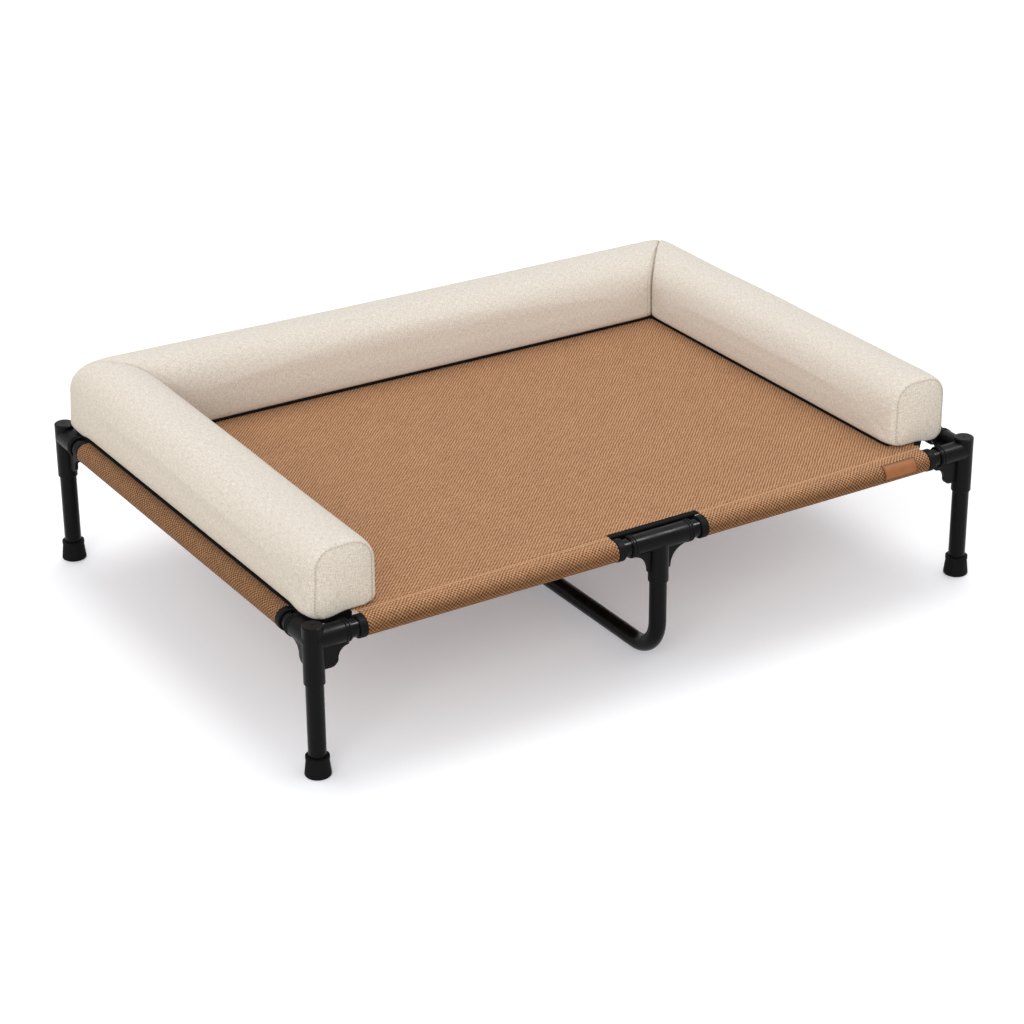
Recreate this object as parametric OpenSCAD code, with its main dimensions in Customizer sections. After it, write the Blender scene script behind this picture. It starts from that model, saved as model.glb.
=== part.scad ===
// Raised dog cot: a knock-down tube frame on four push-fit legs and a U-bent
// centre leg, a stretched mesh bed sleeved on the rails, and a U-shaped bolster.
// Millimetres. +X to the right, +Y to the back, +Z up, origin on the floor
// under the middle of the frame.

/* [Frame] */
// Length over the corner posts
frame_l = 1067; // [900:1:1300]
// Width over the corner posts
frame_w = 762; // [640:1:900]
// Height of the rail axes above the floor
rail_z = 193; // [170:1:260]
// Outside diameter of the rail tubes
rail_d = 25; // [22:0.2:28]
// Outside diameter of the leg tubes and the centre leg
leg_d = 23.8; // [20:0.2:25]
// Wall of all tubes
tube_wall = 1.2; // [0.8:0.1:2]
// Height of the centre leg's bottom run, floor to tube axis
centre_run_z = 20; // [13:0.5:40]
// Centre-line radius of the centre leg's bends
centre_bend_r = 50; // [35:1:80]

/* [Fittings] */
// Wall of the corner posts and leg sockets
post_wall = 1.9; // [1.6:0.1:4]
// Height of a post's top above the rail axis
post_rise = 20; // [17:0.5:30]
// Drop of a leg socket's mouth below the rail axis
socket_drop = 62; // [50:1:80]
// Wall between a leg socket and the rail bore above it
socket_roof = 5; // [3:0.5:8]
// Wall of the rail barrels
barrel_wall = 1.9; // [1.4:0.1:4]
// Wall between the two rail bores of a corner, past their radius
corner_wall = 4.4; // [2:0.1:8]
// Depth of a rail in a corner barrel
rail_insert = 32.5; // [24:0.5:45]
// Half of the wall between the two rail bores of a tee
tee_stop = 6; // [3:0.5:12]
// Radius of the two beads round a barrel's mouth
bead_r = 1.1; // [0.6:0.1:1.6]
// Distance of the outer bead from the mouth
bead_inset = 2.4; // [1.8:0.1:4]
// Distance between the two beads
bead_pitch = 4.6; // [3.4:0.1:7]
// Thickness of the gusset webs
web_t = 5; // [3:0.5:8]
// Depth of a corner web's lip below its barrel
web_lip = 5; // [3:0.5:8]
// Drop of a web's foot below the rail axis
web_foot_drop = 45.5; // [40:0.5:50]
// Radius of the hollow curve in a corner web's edge
web_hollow_r = 15.5; // [10:0.5:18]
// Depth of a tee web's lip below its barrel
tee_web_lip = 1.5; // [1:0.5:6]
// Tee axis to the waist of a tee web's curve
tee_web_waist = 18; // [16:0.5:22]
// Radius of the hollow curve in a tee web's edge
tee_web_hollow_r = 27; // [14:0.5:28]
// Chamfer round a post's top and a socket's mouth
post_chamfer = 1.2; // [0.5:0.1:2]
// Diameter of the gate dimple in a post's top
gate_d = 2.6; // [2:0.1:4]
// Depth of the gate dimple
gate_depth = 1; // [0.5:0.1:2]
// Radial clearance of a rail in its barrel and its collars
rail_fit = 0.1; // [0.05:0.01:0.3]
// Radial clearance of a push-fit leg in its socket
leg_fit = 0.08; // [0.02:0.01:0.1]
// Gap at the end of a tube in its socket
seat_gap = 0.2; // [0.1:0.05:0.5]

/* [Collars] */
// Wall of a stop collar
collar_wall = 2.9; // [2:0.1:5]
// Length of a stop collar
collar_l = 11; // [6:0.5:16]
// Bare tube between a barrel's mouth and its collar
neck_l = 11; // [4:0.5:20]
// Radius of a collar's edges
collar_edge_r = 1.6; // [0.5:0.1:1.8]

/* [Feet] */
// Height of a foot
foot_h = 28; // [22:1:36]
// Wall of a foot at the floor
foot_base_wall = 5.6; // [4.5:0.1:8]
// Wall of a foot below its rim
foot_neck_wall = 3.2; // [2:0.1:4]
// Wall of a foot at its rim
foot_rim_wall = 3.9; // [2:0.1:5]
// Height of a foot's rim
foot_rim_h = 4; // [2:0.5:6]
// Thickness of a foot's sole
foot_sole = 6; // [4:0.5:10]
// Radius of a foot's bottom edge
foot_edge_r = 2.5; // [1:0.5:3]
// Radial clearance of a leg in its foot
foot_fit = 0.05; // [0.02:0.01:0.2]

/* [Mesh bed] */
// Thickness of the mesh panel
mesh_t = 1.2; // [0.8:0.1:2]
// Thickness of a folded sleeve's wall
sleeve_t = 1.8; // [1.2:0.1:3]
// Radial gap between a sleeve and its rail
sleeve_gap = 0.4; // [0.2:0.1:1]
// Gap between a sleeve's end and its collar
sleeve_end_gap = 0.5; // [0.2:0.1:2]
// Rail axis to the seam between a sleeve and the panel
seam_in = 11; // [10:0.5:14]
// Rail axis to the end of a sleeve's hem under the panel
hem_in = 26; // [20:0.5:40]
// Width of the binding tape on a cut edge
binding_w = 9; // [4:0.5:12]
// Thickness of the binding tape
binding_t = 0.8; // [0.5:0.1:1.2]
// Gap between the binding's fold and the panel
binding_gap = 0.1; // [0.05:0.05:0.3]
// Drop of the binding's flap below the panel
flap_h = 9; // [4:0.5:12]
// Gap between a binding's end and the sleeve beside it
binding_end_gap = 1; // [0.3:0.1:3]
// Width of the patch along the sleeve
patch_l = 57; // [40:1:80]
// Height of the patch round the sleeve
patch_h = 25; // [18:0.5:26]
// Thickness of the patch
patch_t = 1.2; // [0.8:0.1:2]
// Sleeve's end to the near edge of the patch
patch_in = 23; // [10:0.5:40]
// Turn of the patch's middle above the sleeve's front
patch_tilt = 25; // [15:1:35]

/* [Bolster] */
// Width of a bolster run
bolster_w = 102; // [86:1:120]
// Height of a bolster run above its base strip
bolster_h = 97; // [84:1:120]
// Radius of the bolster's top edges
bolster_top_r = 44; // [30:1:46]
// Radius of the bolster's bottom edges
bolster_base_r = 6; // [5:1:18]
// Radius of the top edges at a sewn front end
bolster_end_r = 28; // [22:1:34]
// Draw-in of the cover at a sewn front end
end_draw = 7; // [3:0.5:10]
// Draw-in of the cover at a mitre seam
mitre_draw = 4; // [2:0.5:8]
// Length over which the cover is drawn in
draw_l = 30; // [20:1:60]
// Bulge of an end panel
end_bulge = 5; // [3:0.5:12]
// Thickness of the cover's cloth
cover_t = 1.6; // [1:0.1:3]
// Gap between the cover and its filling
filling_gap = 0.4; // [0.2:0.1:1]
// Thickness of the base strip
base_t = 3; // [1:0.1:4]
// Side of a bolster to the edge of its base strip
base_inset = 5; // [4:0.5:20]
// Gap between the base strip and the bindings that it lies on
base_gap = 0.3; // [0.2:0.1:1]
// Side rail axis to the bolster's outer side
side_inset = 5; // [2:0.5:30]
// Back rail axis to the bolster's outer side
back_inset = 8; // [4:0.5:30]
// Front rail axis to the seam of the bolster's front ends
front_inset = 22; // [20:0.5:80]

/* [Hidden] */
$fn = 64;

// Sizes and places that several pieces share
post_d = leg_d + 2 * (leg_fit + post_wall);
post_x = (frame_l - post_d) / 2;
post_y = (frame_w - post_d) / 2;
post_top_z = rail_z + post_rise;
socket_z = rail_z - socket_drop;
rail_bore_r = rail_d / 2 + rail_fit;
socket_roof_z = rail_z - rail_bore_r - socket_roof;
leg_top_z = socket_roof_z - seat_gap;
barrel_d = 2 * (rail_bore_r + barrel_wall);
corner_stop = rail_bore_r + corner_wall;
barrel_reach = corner_stop + rail_insert;
collar_from = barrel_reach + neck_l;
collar_d = 2 * (rail_bore_r + collar_wall);
sleeve_from = collar_from + collar_l + sleeve_end_gap;
sleeve_in_r = rail_d / 2 + sleeve_gap;
sleeve_out_r = sleeve_in_r + sleeve_t;
mesh_z = rail_z + sleeve_out_r;
base_z = mesh_z + binding_t + binding_gap + base_gap;
bolster_z = base_z + base_t;

// The panel's edges are at the seams, with a slanting cut between two sleeve ends
seam_x = post_x - seam_in;
seam_y = post_y - seam_in;
cut_x = post_x - sleeve_from;
cut_y = post_y - sleeve_from;

// The bolster's outer sides, and the seam plane of its front ends
bolster_x = post_x - side_inset;
bolster_y = post_y - back_inset;
bolster_front_y = front_inset - post_y;

// Cuts run past the faces that they open
past = 1;
// Least flat that is left between two rounded edges
least_flat = 1;

// Corners as [name, x side, y side], and the middles of the four sides
corners = [
    ["front_left", -1, -1], ["front_right", 1, -1],
    ["back_left", -1, 1], ["back_right", 1, 1]
];
ends = [["front", -1], ["back", 1]];
sides = [["left", -1], ["right", 1]];

NODES = concat(
    [for (c = corners) str("corner_fitting_", c[0])],
    [for (e = ends) str("tee_fitting_", e[0])],
    [for (c = corners) str("rail_", c[0])],
    [for (s = sides) str("side_rail_", s[0])],
    [for (c = corners) str("collar_outer_", c[0])],
    [for (c = corners) str("collar_inner_", c[0])],
    [for (c = corners) str("collar_side_", c[0])],
    [for (c = corners) str("leg_tube_", c[0])],
    [for (c = corners) str("foot_", c[0])],
    ["centre_leg", "mesh_panel"],
    [for (c = corners) str("sleeve_", c[0])],
    [for (s = sides) str("side_sleeve_", s[0])],
    [for (e = ends) str("tee_binding_", e[0])],
    [for (c = corners) str("corner_binding_", c[0])],
    ["leather_patch"],
    [for (s = sides) str("bolster_cover_", s[0])],
    [for (s = sides) str("bolster_end_", s[0])],
    [for (s = sides) str("bolster_filling_", s[0])],
    [for (s = sides) str("bolster_base_", s[0])],
    ["bolster_cover_back", "bolster_filling_back", "bolster_base_back"]
);
node = "all";

// Moulded fittings

// Lays a shape that is drawn up the Z axis along +X at rail height
module along_x() { translate([0, 0, rail_z]) rotate([0, 90, 0]) children(); }

// Stands a flat shape on edge in the X and Z plane, with its thickness across Y
module upright(thickness) {
    translate([0, thickness / 2, 0]) rotate([90, 0, 0]) linear_extrude(thickness) children();
}

// Outside of a rail barrel: a plain tube with two round beads at its mouth
module barrel() {
    along_x() rotate_extrude() union() {
        square([barrel_d / 2, barrel_reach]);
        for (i = [0, 1])
            translate([barrel_d / 2, barrel_reach - bead_inset - i * bead_pitch])
                circle(bead_r, $fn = 24);
    }
}

// Blind hole for a rail, from its stop out through the barrel's mouth
module rail_bore(stop) {
    along_x() translate([0, 0, stop - seat_gap])
        cylinder(r = rail_bore_r, h = barrel_reach - stop + seat_gap + past);
}

// Gusset web below a barrel: its edge is an S-curve, hollow above the waist
// and full below it, from a lip under the barrel to a foot on the socket
module web(widest_reach, lip, widest_r) {
    lip_z = rail_z - barrel_d / 2 - lip;
    foot_z = rail_z - web_foot_drop;
    reach = min(widest_reach, barrel_reach);
    hollow_r = min(widest_r, lip_z - foot_z - least_flat);
    waist = reach - hollow_r;
    waist_z = lip_z - hollow_r;
    full_r = waist_z - foot_z;
    upright(web_t) difference() {
        translate([0, foot_z]) square([reach, rail_z - foot_z]);
        translate([reach, waist_z]) circle(hollow_r);
        translate([waist, foot_z - past]) square([hollow_r + past, full_r + past]);
        difference() {
            translate([waist - full_r, foot_z - past]) square([full_r + past, full_r + past]);
            translate([waist - full_r, waist_z]) circle(full_r);
        }
    }
}

// Upright body from the socket's mouth to a given height, chamfered at both ends
module post(top_z) {
    r = post_d / 2;
    rotate_extrude() polygon([
        [0, socket_z], [r - post_chamfer, socket_z], [r, socket_z + post_chamfer],
        [r, top_z - post_chamfer], [r - post_chamfer, top_z], [0, top_z]
    ]);
}

module leg_bore() {
    translate([0, 0, socket_z - past])
        cylinder(r = leg_d / 2 + leg_fit, h = socket_roof_z - socket_z + past);
}

// Three-way fitting at the origin, with barrels along +X and +Y. It is turned,
// not mirrored, to each corner, so that its barrels point inwards
module corner_fitting(c) {
    turn = c[1] < 0 ? (c[2] < 0 ? 0 : 270) : (c[2] < 0 ? 90 : 180);
    color("#1b1b1c") translate([c[1] * post_x, c[2] * post_y, 0]) rotate([0, 0, turn]) difference() {
        union() {
            post(post_top_z);
            for (side = [0, 90]) rotate([0, 0, side]) {
                barrel();
                web(barrel_reach, web_lip, web_hollow_r);
            }
        }
        for (side = [0, 90]) rotate([0, 0, side]) rail_bore(corner_stop);
        leg_bore();
        translate([0, 0, post_top_z - gate_depth]) cylinder(d = gate_d, h = gate_depth + past);
    }
}

// Tee fitting on the middle of the front or back rail
module tee_fitting(e) {
    color("#1b1b1c") translate([0, e[1] * post_y, 0]) difference() {
        union() {
            post(rail_z);
            for (side = [0, 180]) rotate([0, 0, side]) {
                barrel();
                web(tee_web_waist + tee_web_hollow_r, tee_web_lip, tee_web_hollow_r);
            }
        }
        for (side = [0, 180]) rotate([0, 0, side]) rail_bore(tee_stop);
        leg_bore();
    }
}

// Tubes, collars and feet

module tube(d, h) {
    linear_extrude(h) difference() {
        circle(d = d);
        circle(d = d - 2 * tube_wall);
    }
}

// Half of the front or back rail, from its corner stop to its tee stop
module rail(c) {
    color("#202021") translate([c[1] < 0 ? corner_stop - post_x : tee_stop, c[2] * post_y, 0])
        along_x() tube(rail_d, post_x - corner_stop - tee_stop);
}

module side_rail(s) {
    color("#202021") translate([s[1] * post_x, corner_stop - post_y, 0])
        rotate([0, 0, 90]) along_x() tube(rail_d, 2 * (post_y - corner_stop));
}

// Ring with round outer edges, on a rail that leaves the origin along +X
module collar() {
    outer_r = collar_d / 2;
    color("#262627") along_x() translate([0, 0, collar_from]) rotate_extrude() difference() {
        union() {
            square([outer_r - collar_edge_r, collar_l]);
            translate([0, collar_edge_r]) square([outer_r, collar_l - 2 * collar_edge_r]);
            for (z = [collar_edge_r, collar_l - collar_edge_r])
                translate([outer_r - collar_edge_r, z]) circle(collar_edge_r, $fn = 24);
        }
        square([rail_bore_r, collar_l]);
    }
}

// The three collars that belong to a corner: beside its barrels and beside the tee
module collar_outer(c) {
    translate([c[1] * post_x, c[2] * post_y, 0]) rotate([0, 0, c[1] < 0 ? 0 : 180]) collar();
}

module collar_side(c) {
    translate([c[1] * post_x, c[2] * post_y, 0]) rotate([0, 0, c[2] < 0 ? 90 : 270]) collar();
}

module collar_inner(c) {
    translate([0, c[2] * post_y, 0]) rotate([0, 0, c[1] < 0 ? 180 : 0]) collar();
}

module leg_tube(c) {
    color("#202021") translate([c[1] * post_x, c[2] * post_y, foot_sole])
        tube(leg_d, leg_top_z - foot_sole);
}

// Flared rubber cap with a rim round its top and a rounded bottom edge
module foot(c) {
    leg_r = leg_d / 2;
    base_r = leg_r + foot_base_wall;
    rim_z = foot_h - foot_rim_h;
    color("#161616") translate([c[1] * post_x, c[2] * post_y, 0]) difference() {
        rotate_extrude() union() {
            square([base_r - foot_edge_r, foot_edge_r]);
            intersection() {
                translate([base_r - foot_edge_r, foot_edge_r]) circle(foot_edge_r, $fn = 32);
                square([base_r, foot_edge_r]);
            }
            polygon([
                [0, foot_edge_r], [base_r, foot_edge_r],
                [leg_r + foot_neck_wall, rim_z], [0, rim_z]
            ]);
            translate([0, rim_z]) square([leg_r + foot_rim_wall, foot_rim_h]);
        }
        translate([0, 0, foot_sole]) cylinder(r = leg_r + foot_fit, h = foot_h);
    }
}

// U-bent tube between the two tee sockets
module centre_leg() {
    bend_y = post_y - centre_bend_r;
    bend_z = centre_run_z + centre_bend_r;
    color("#202021") union() {
        translate([0, bend_y, centre_run_z]) rotate([90, 0, 0]) tube(leg_d, 2 * bend_y);
        for (side = [0, 180]) rotate([0, 0, side]) {
            translate([0, post_y, bend_z]) tube(leg_d, leg_top_z - bend_z);
            translate([0, bend_y, bend_z]) rotate([0, 90, 0])
                rotate_extrude(angle = 90) translate([centre_bend_r, 0]) difference() {
                    circle(d = leg_d);
                    circle(d = leg_d - 2 * tube_wall);
                }
        }
    }
}

// Mesh bed

module mesh_panel() {
    color("#a9744a") translate([0, 0, mesh_z - mesh_t]) linear_extrude(mesh_t) polygon([
        [-cut_x, -seam_y], [cut_x, -seam_y], [seam_x, -cut_y], [seam_x, cut_y],
        [cut_x, seam_y], [-cut_x, seam_y], [-seam_x, cut_y], [-seam_x, -cut_y]
    ]);
}

// Sleeve along +X: a ring of cloth round the rail whose plies meet at the seam,
// with its hem under the panel on the +Y side
module sleeve(from_x, length) {
    hem_y = sleeve_out_r - mesh_t - sleeve_t;
    color("#a57046") translate([from_x, 0, rail_z])
        rotate([90, 0, 90]) linear_extrude(length) difference() {
            union() {
                circle(sleeve_out_r);
                translate([0, hem_y]) square([seam_in, mesh_t + sleeve_t]);
                translate([0, hem_y]) square([hem_in, sleeve_t]);
            }
            circle(sleeve_in_r);
        }
}

// Sleeve on half of the front or back rail
module end_sleeve(c) {
    inner_first = c[1] * c[2] < 0;
    translate([0, c[2] * post_y, 0]) rotate([0, 0, c[2] < 0 ? 0 : 180])
        sleeve(inner_first ? sleeve_from : -cut_x, cut_x - sleeve_from);
}

module side_sleeve(s) {
    translate([s[1] * post_x, 0, 0]) rotate([0, 0, s[1] < 0 ? 270 : 90])
        sleeve(-cut_y, 2 * cut_y);
}

// Tape folded over a cut edge that lies along X, with the panel on its +Y side.
// The lower ply's free edge hangs down as a flap behind the rail
module binding(length) {
    fold = binding_t + binding_gap;
    color("#1a1a1a") translate([-length / 2, 0, mesh_z - mesh_t])
        rotate([90, 0, 90]) linear_extrude(length) {
            difference() {
                translate([-fold, -fold]) square([binding_w, mesh_t + 2 * fold]);
                translate([-binding_gap, -binding_gap]) square([binding_w, mesh_t + 2 * binding_gap]);
            }
            translate([binding_w - fold - binding_t, -fold - flap_h]) square([binding_t, flap_h + binding_t]);
        }
}

module tee_binding(e) {
    rotate([0, 0, e[1] < 0 ? 0 : 180]) translate([0, -seam_y, 0])
        binding(2 * (sleeve_from - binding_end_gap));
}

// Binding on a corner's slanting cut, short enough to clear both sleeves
module corner_binding(c) {
    turn = c[1] < 0 ? (c[2] < 0 ? -45 : 225) : (c[2] < 0 ? 45 : 135);
    cut_l = (sleeve_from - seam_in) * sqrt(2);
    translate([c[1] * (seam_x + cut_x) / 2, c[2] * (seam_y + cut_y) / 2, 0])
        rotate([0, 0, turn]) binding(cut_l - 2 * (binding_w + binding_end_gap));
}

// Blank patch that wraps the front of the right-hand front sleeve
module leather_patch() {
    span = patch_h / (sleeve_out_r + patch_t) * 180 / PI;
    color("#8a5230") translate([cut_x - patch_in - patch_l, -post_y, rail_z])
        rotate([0, 90, 0]) rotate([0, 0, -90 - patch_tilt - span / 2])
            rotate_extrude(angle = span) translate([sleeve_out_r, 0]) square([patch_t, patch_l]);
}

// Bolster

// Points on an arc, ends included
function arc(x, y, r, from, to, steps) =
    [for (i = [0:steps]) let (a = from + (to - from) * i / steps) [x + r * cos(a), y + r * sin(a)]];

// Section of a run: a flat base, small bottom radii and large top radii, all
// inset alike, anticlockwise from the right end of the base
function section(w, h, top_r, base_r, inset) =
    let (x = w / 2 - inset, high = h - inset, b = base_r - inset,
        t = min(top_r - inset, x - least_flat, high - base_r - least_flat))
    concat(
        arc(x - b, base_r, b, -90, 0, 4), arc(x - t, high - t, t, 0, 90, 7),
        arc(t - x, high - t, t, 90, 180, 7), arc(b - x, base_r, b, 180, 270, 4)
    );

// How far the cover has swollen, from 0 at a seam to 1 past the drawn-in length
function swell(k) = sqrt(1 - pow(1 - k, 2));

// Section at a share k of the drawn-in length from a seam [place, slant, draw, radius]
function seam_section(seam, k, inset) =
    let (pull = seam[2] * (1 - swell(k)), top_r = seam[3] + (bolster_top_r - seam[3]) * swell(k))
    section(bolster_w - 2 * pull, bolster_h - pull, top_r, bolster_base_r, inset);

// Ring of a run along +Y: a section that follows the seam's slant
function seam_ring(seam, k, way, inset) =
    [for (p = seam_section(seam, k, inset)) [p[0], seam[0] + way * k * draw_l + seam[1] * p[0], p[1]]];

// Shares of the drawn-in length at which a run has a ring
ring_steps = [0, 0.04, 0.14, 0.32, 0.6, 1];

// Rings of a whole run from one seam to the other
function run_rings(from, to, inset) = concat(
    [for (k = ring_steps) seam_ring(from, k, 1, inset)],
    [for (i = [len(ring_steps) - 1:-1:0]) seam_ring(to, ring_steps[i], -1, inset)]
);

// Triangles between rings of n points, facing outwards unless inside is true
function skin(rings, n, first, inside) =
    [for (r = [0:rings - 2]) for (i = [0:n - 1])
        let (a = first + r * n + i, b = first + r * n + (i + 1) % n, c = a + n, d = b + n)
        each inside ? [[a, b, d], [a, d, c]] : [[a, d, b], [a, c, d]]];

// Closed tube of cloth between an outer and an inner set of rings
module cloth_tube(outer, inner) {
    n = len(outer[0]);
    r = len(outer);
    q = r * n;
    last = q - n;
    rims = [for (i = [0:n - 1]) let (j = (i + 1) % n) each [
        [i, j, q + j], [i, q + j, q + i],
        [last + j, last + i, q + last + i], [last + j, q + last + i, q + last + j]
    ]];
    polyhedron(
        [for (loops = [outer, inner]) for (loop = loops) each loop],
        concat(skin(r, n, 0, false), skin(r, n, q, true), rims), convexity = 4
    );
}

// Solid run with a flat fan over each end
module solid_run(rings) {
    n = len(rings[0]);
    r = len(rings);
    last = (r - 1) * n;
    fans = [for (i = [1:n - 2]) each [[0, i, i + 1], [last, last + i + 1, last + i]]];
    polyhedron([for (loop = rings) each loop], concat(skin(r, n, 0, false), fans), convexity = 4);
}

// Seams of the right-hand run and of the back run, in each run's own frame
side_middle_x = bolster_x - bolster_w / 2;
back_middle_y = bolster_y - bolster_w / 2;
front_seam = [bolster_front_y, 0, end_draw, bolster_end_r];
back_seam = [back_middle_y, 1, mitre_draw, bolster_top_r];
near_seam = [-side_middle_x, -1, mitre_draw, bolster_top_r];
far_seam = [side_middle_x, 1, mitre_draw, bolster_top_r];

// Mirrors a right-hand piece to the left
module on_side(s) {
    if (s[1] < 0) mirror([1, 0, 0]) children();
    else children();
}

module side_run(s) { on_side(s) translate([side_middle_x, 0, bolster_z]) children(); }

module back_run() { translate([0, back_middle_y, bolster_z]) rotate([0, 0, 90]) children(); }

module cover(from, to) {
    color("#e4d8c4") cloth_tube(run_rings(from, to, 0), run_rings(from, to, cover_t));
}

module filling(from, to) {
    color("#f4f1ea") solid_run(run_rings(from, to, cover_t + filling_gap));
}

// Moves a seam along its run, to leave a gap at it
function moved(seam, by) = [seam[0] + by, seam[1], seam[2], seam[3]];

module bolster_cover(s) { side_run(s) cover(front_seam, back_seam); }
module bolster_cover_back() { back_run() cover(near_seam, far_seam); }

module bolster_filling(s) {
    side_run(s) filling(moved(front_seam, filling_gap), moved(back_seam, -filling_gap));
}

module bolster_filling_back() {
    back_run() filling(moved(near_seam, filling_gap), moved(far_seam, -filling_gap));
}

// Shares of an end panel's outline at which its dome has a ring
dome_steps = [1, 0.9, 0.7, 0.42, 0.14];

// Sewn end panel: the seam's outline, domed forwards as far as the filling pushes it
module bolster_end(s) {
    middle = bolster_h / 2;
    outline = seam_section(front_seam, 0, 0);
    n = len(outline);
    r = len(dome_steps);
    faces_y = [bolster_front_y, bolster_front_y - cover_t];
    points = [for (y = faces_y) for (k = dome_steps) for (p = outline)
        [k * p[0], y - end_bulge * (1 - k * k), middle + k * (p[1] - middle)]];
    q = r * n;
    rim = [for (i = [0:n - 1]) let (j = (i + 1) % n) each [[i, j, q + j], [i, q + j, q + i]]];
    fans = [for (i = [1:n - 2]) each [
        [q - n, q - n + i + 1, q - n + i], [2 * q - n, 2 * q - n + i, 2 * q - n + i + 1]
    ]];
    color("#e4d8c4") side_run(s) polyhedron(
        points, concat(skin(r, n, 0, false), skin(r, n, q, true), rim, fans), convexity = 4
    );
}

// Black non-slip strips under the three runs, mitred like the cover
module base_strip(outline) {
    color("#191919") translate([0, 0, base_z]) linear_extrude(base_t) polygon(outline);
}

strip_out_x = bolster_x - base_inset;
strip_in_x = bolster_x - bolster_w + base_inset;
strip_out_y = bolster_y - base_inset;
strip_in_y = bolster_y - bolster_w + base_inset;

module bolster_base(s) {
    front_y = bolster_front_y + base_inset;
    on_side(s) base_strip([
        [strip_in_x, front_y], [strip_out_x, front_y],
        [strip_out_x, strip_out_y], [strip_in_x, strip_in_y]
    ]);
}

module bolster_base_back() {
    base_strip([
        [-strip_in_x, strip_in_y], [strip_in_x, strip_in_y],
        [strip_out_x, strip_out_y], [-strip_out_x, strip_out_y]
    ]);
}

function wanted(name) = node == "all" || node == name;

for (c = corners) {
    if (wanted(str("corner_fitting_", c[0]))) corner_fitting(c);
    if (wanted(str("rail_", c[0]))) rail(c);
    if (wanted(str("collar_outer_", c[0]))) collar_outer(c);
    if (wanted(str("collar_inner_", c[0]))) collar_inner(c);
    if (wanted(str("collar_side_", c[0]))) collar_side(c);
    if (wanted(str("leg_tube_", c[0]))) leg_tube(c);
    if (wanted(str("foot_", c[0]))) foot(c);
    if (wanted(str("sleeve_", c[0]))) end_sleeve(c);
    if (wanted(str("corner_binding_", c[0]))) corner_binding(c);
}
for (e = ends) {
    if (wanted(str("tee_fitting_", e[0]))) tee_fitting(e);
    if (wanted(str("tee_binding_", e[0]))) tee_binding(e);
}
for (s = sides) {
    if (wanted(str("side_rail_", s[0]))) side_rail(s);
    if (wanted(str("side_sleeve_", s[0]))) side_sleeve(s);
    if (wanted(str("bolster_cover_", s[0]))) bolster_cover(s);
    if (wanted(str("bolster_end_", s[0]))) bolster_end(s);
    if (wanted(str("bolster_filling_", s[0]))) bolster_filling(s);
    if (wanted(str("bolster_base_", s[0]))) bolster_base(s);
}
if (wanted("centre_leg")) centre_leg();
if (wanted("mesh_panel")) mesh_panel();
if (wanted("leather_patch")) leather_patch();
if (wanted("bolster_cover_back")) bolster_cover_back();
if (wanted("bolster_filling_back")) bolster_filling_back();
if (wanted("bolster_base_back")) bolster_base_back();
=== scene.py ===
"""Raised dog cot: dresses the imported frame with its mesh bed, bolster, finishes and studio."""

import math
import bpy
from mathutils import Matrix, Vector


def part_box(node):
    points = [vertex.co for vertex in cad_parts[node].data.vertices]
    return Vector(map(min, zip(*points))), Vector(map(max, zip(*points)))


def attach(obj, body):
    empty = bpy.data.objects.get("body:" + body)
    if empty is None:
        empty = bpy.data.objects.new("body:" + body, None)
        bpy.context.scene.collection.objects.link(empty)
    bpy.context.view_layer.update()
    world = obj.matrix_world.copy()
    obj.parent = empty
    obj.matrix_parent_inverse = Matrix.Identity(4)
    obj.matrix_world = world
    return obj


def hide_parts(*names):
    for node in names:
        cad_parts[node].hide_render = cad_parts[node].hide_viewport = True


bl_info = {
    "name": "Raised dog cot",
    "version": (1, 0, 0),
    "blender": (4, 5, 0),
    "location": "View3D > Sidebar > Dog cot",
    "description": "Makes the cloth, bolster and finishes of a raised dog cot on its CAD frame",
    "category": "Object",
}

from collections import namedtuple

import bmesh
import bpy
import numpy as np
from bpy.props import FloatProperty, FloatVectorProperty, IntProperty, PointerProperty
from mathutils import Matrix, Vector

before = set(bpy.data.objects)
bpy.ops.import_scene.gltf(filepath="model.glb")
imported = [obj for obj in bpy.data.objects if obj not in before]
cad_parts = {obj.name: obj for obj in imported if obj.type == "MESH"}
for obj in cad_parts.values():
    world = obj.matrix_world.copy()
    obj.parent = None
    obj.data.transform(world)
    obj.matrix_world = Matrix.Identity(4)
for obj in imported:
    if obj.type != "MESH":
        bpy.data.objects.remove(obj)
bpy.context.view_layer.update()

MM = 0.001
WELD = 0.002 * MM
FULL_TURN = 2 * math.pi
CORNERS = ("front_left", "front_right", "back_left", "back_right")
SIDES = ("left", "right")
ENDS = ("front", "back")


def span(node):
    """Lowest and highest corner of a CAD node, as two arrays."""
    low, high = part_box(node)
    return np.array(low), np.array(high)


# Places on the frame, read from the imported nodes
rail_low, rail_high = span("side_rail_right")
leg_low, leg_high = span("leg_tube_back_right")
panel_low, panel_high = span("mesh_panel")
sleeve_high = span("sleeve_front_right")[1]
side_sleeve_high = span("side_sleeve_right")[1]
patch_low, patch_high = span("leather_patch")
tee_binding_low, tee_binding_high = span("tee_binding_front")
cover_low, cover_high = span("bolster_cover_right")
back_cover_low, back_cover_high = span("bolster_cover_back")
bulge_low = span("bolster_end_right")[0]
strip_low = span("bolster_base_right")[0]

post_x = (leg_low[0] + leg_high[0]) / 2
post_y = (leg_low[1] + leg_high[1]) / 2
rail_z = (rail_low[2] + rail_high[2]) / 2
sleeve_r = sleeve_high[2] - rail_z
hem_in = sleeve_high[1] + post_y
seam_in = post_y - panel_high[1]
seam_x, seam_y = panel_high[0], panel_high[1]
cut_x, cut_y = sleeve_high[0], side_sleeve_high[1]
panel_t = panel_high[2] - panel_low[2]


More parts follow.
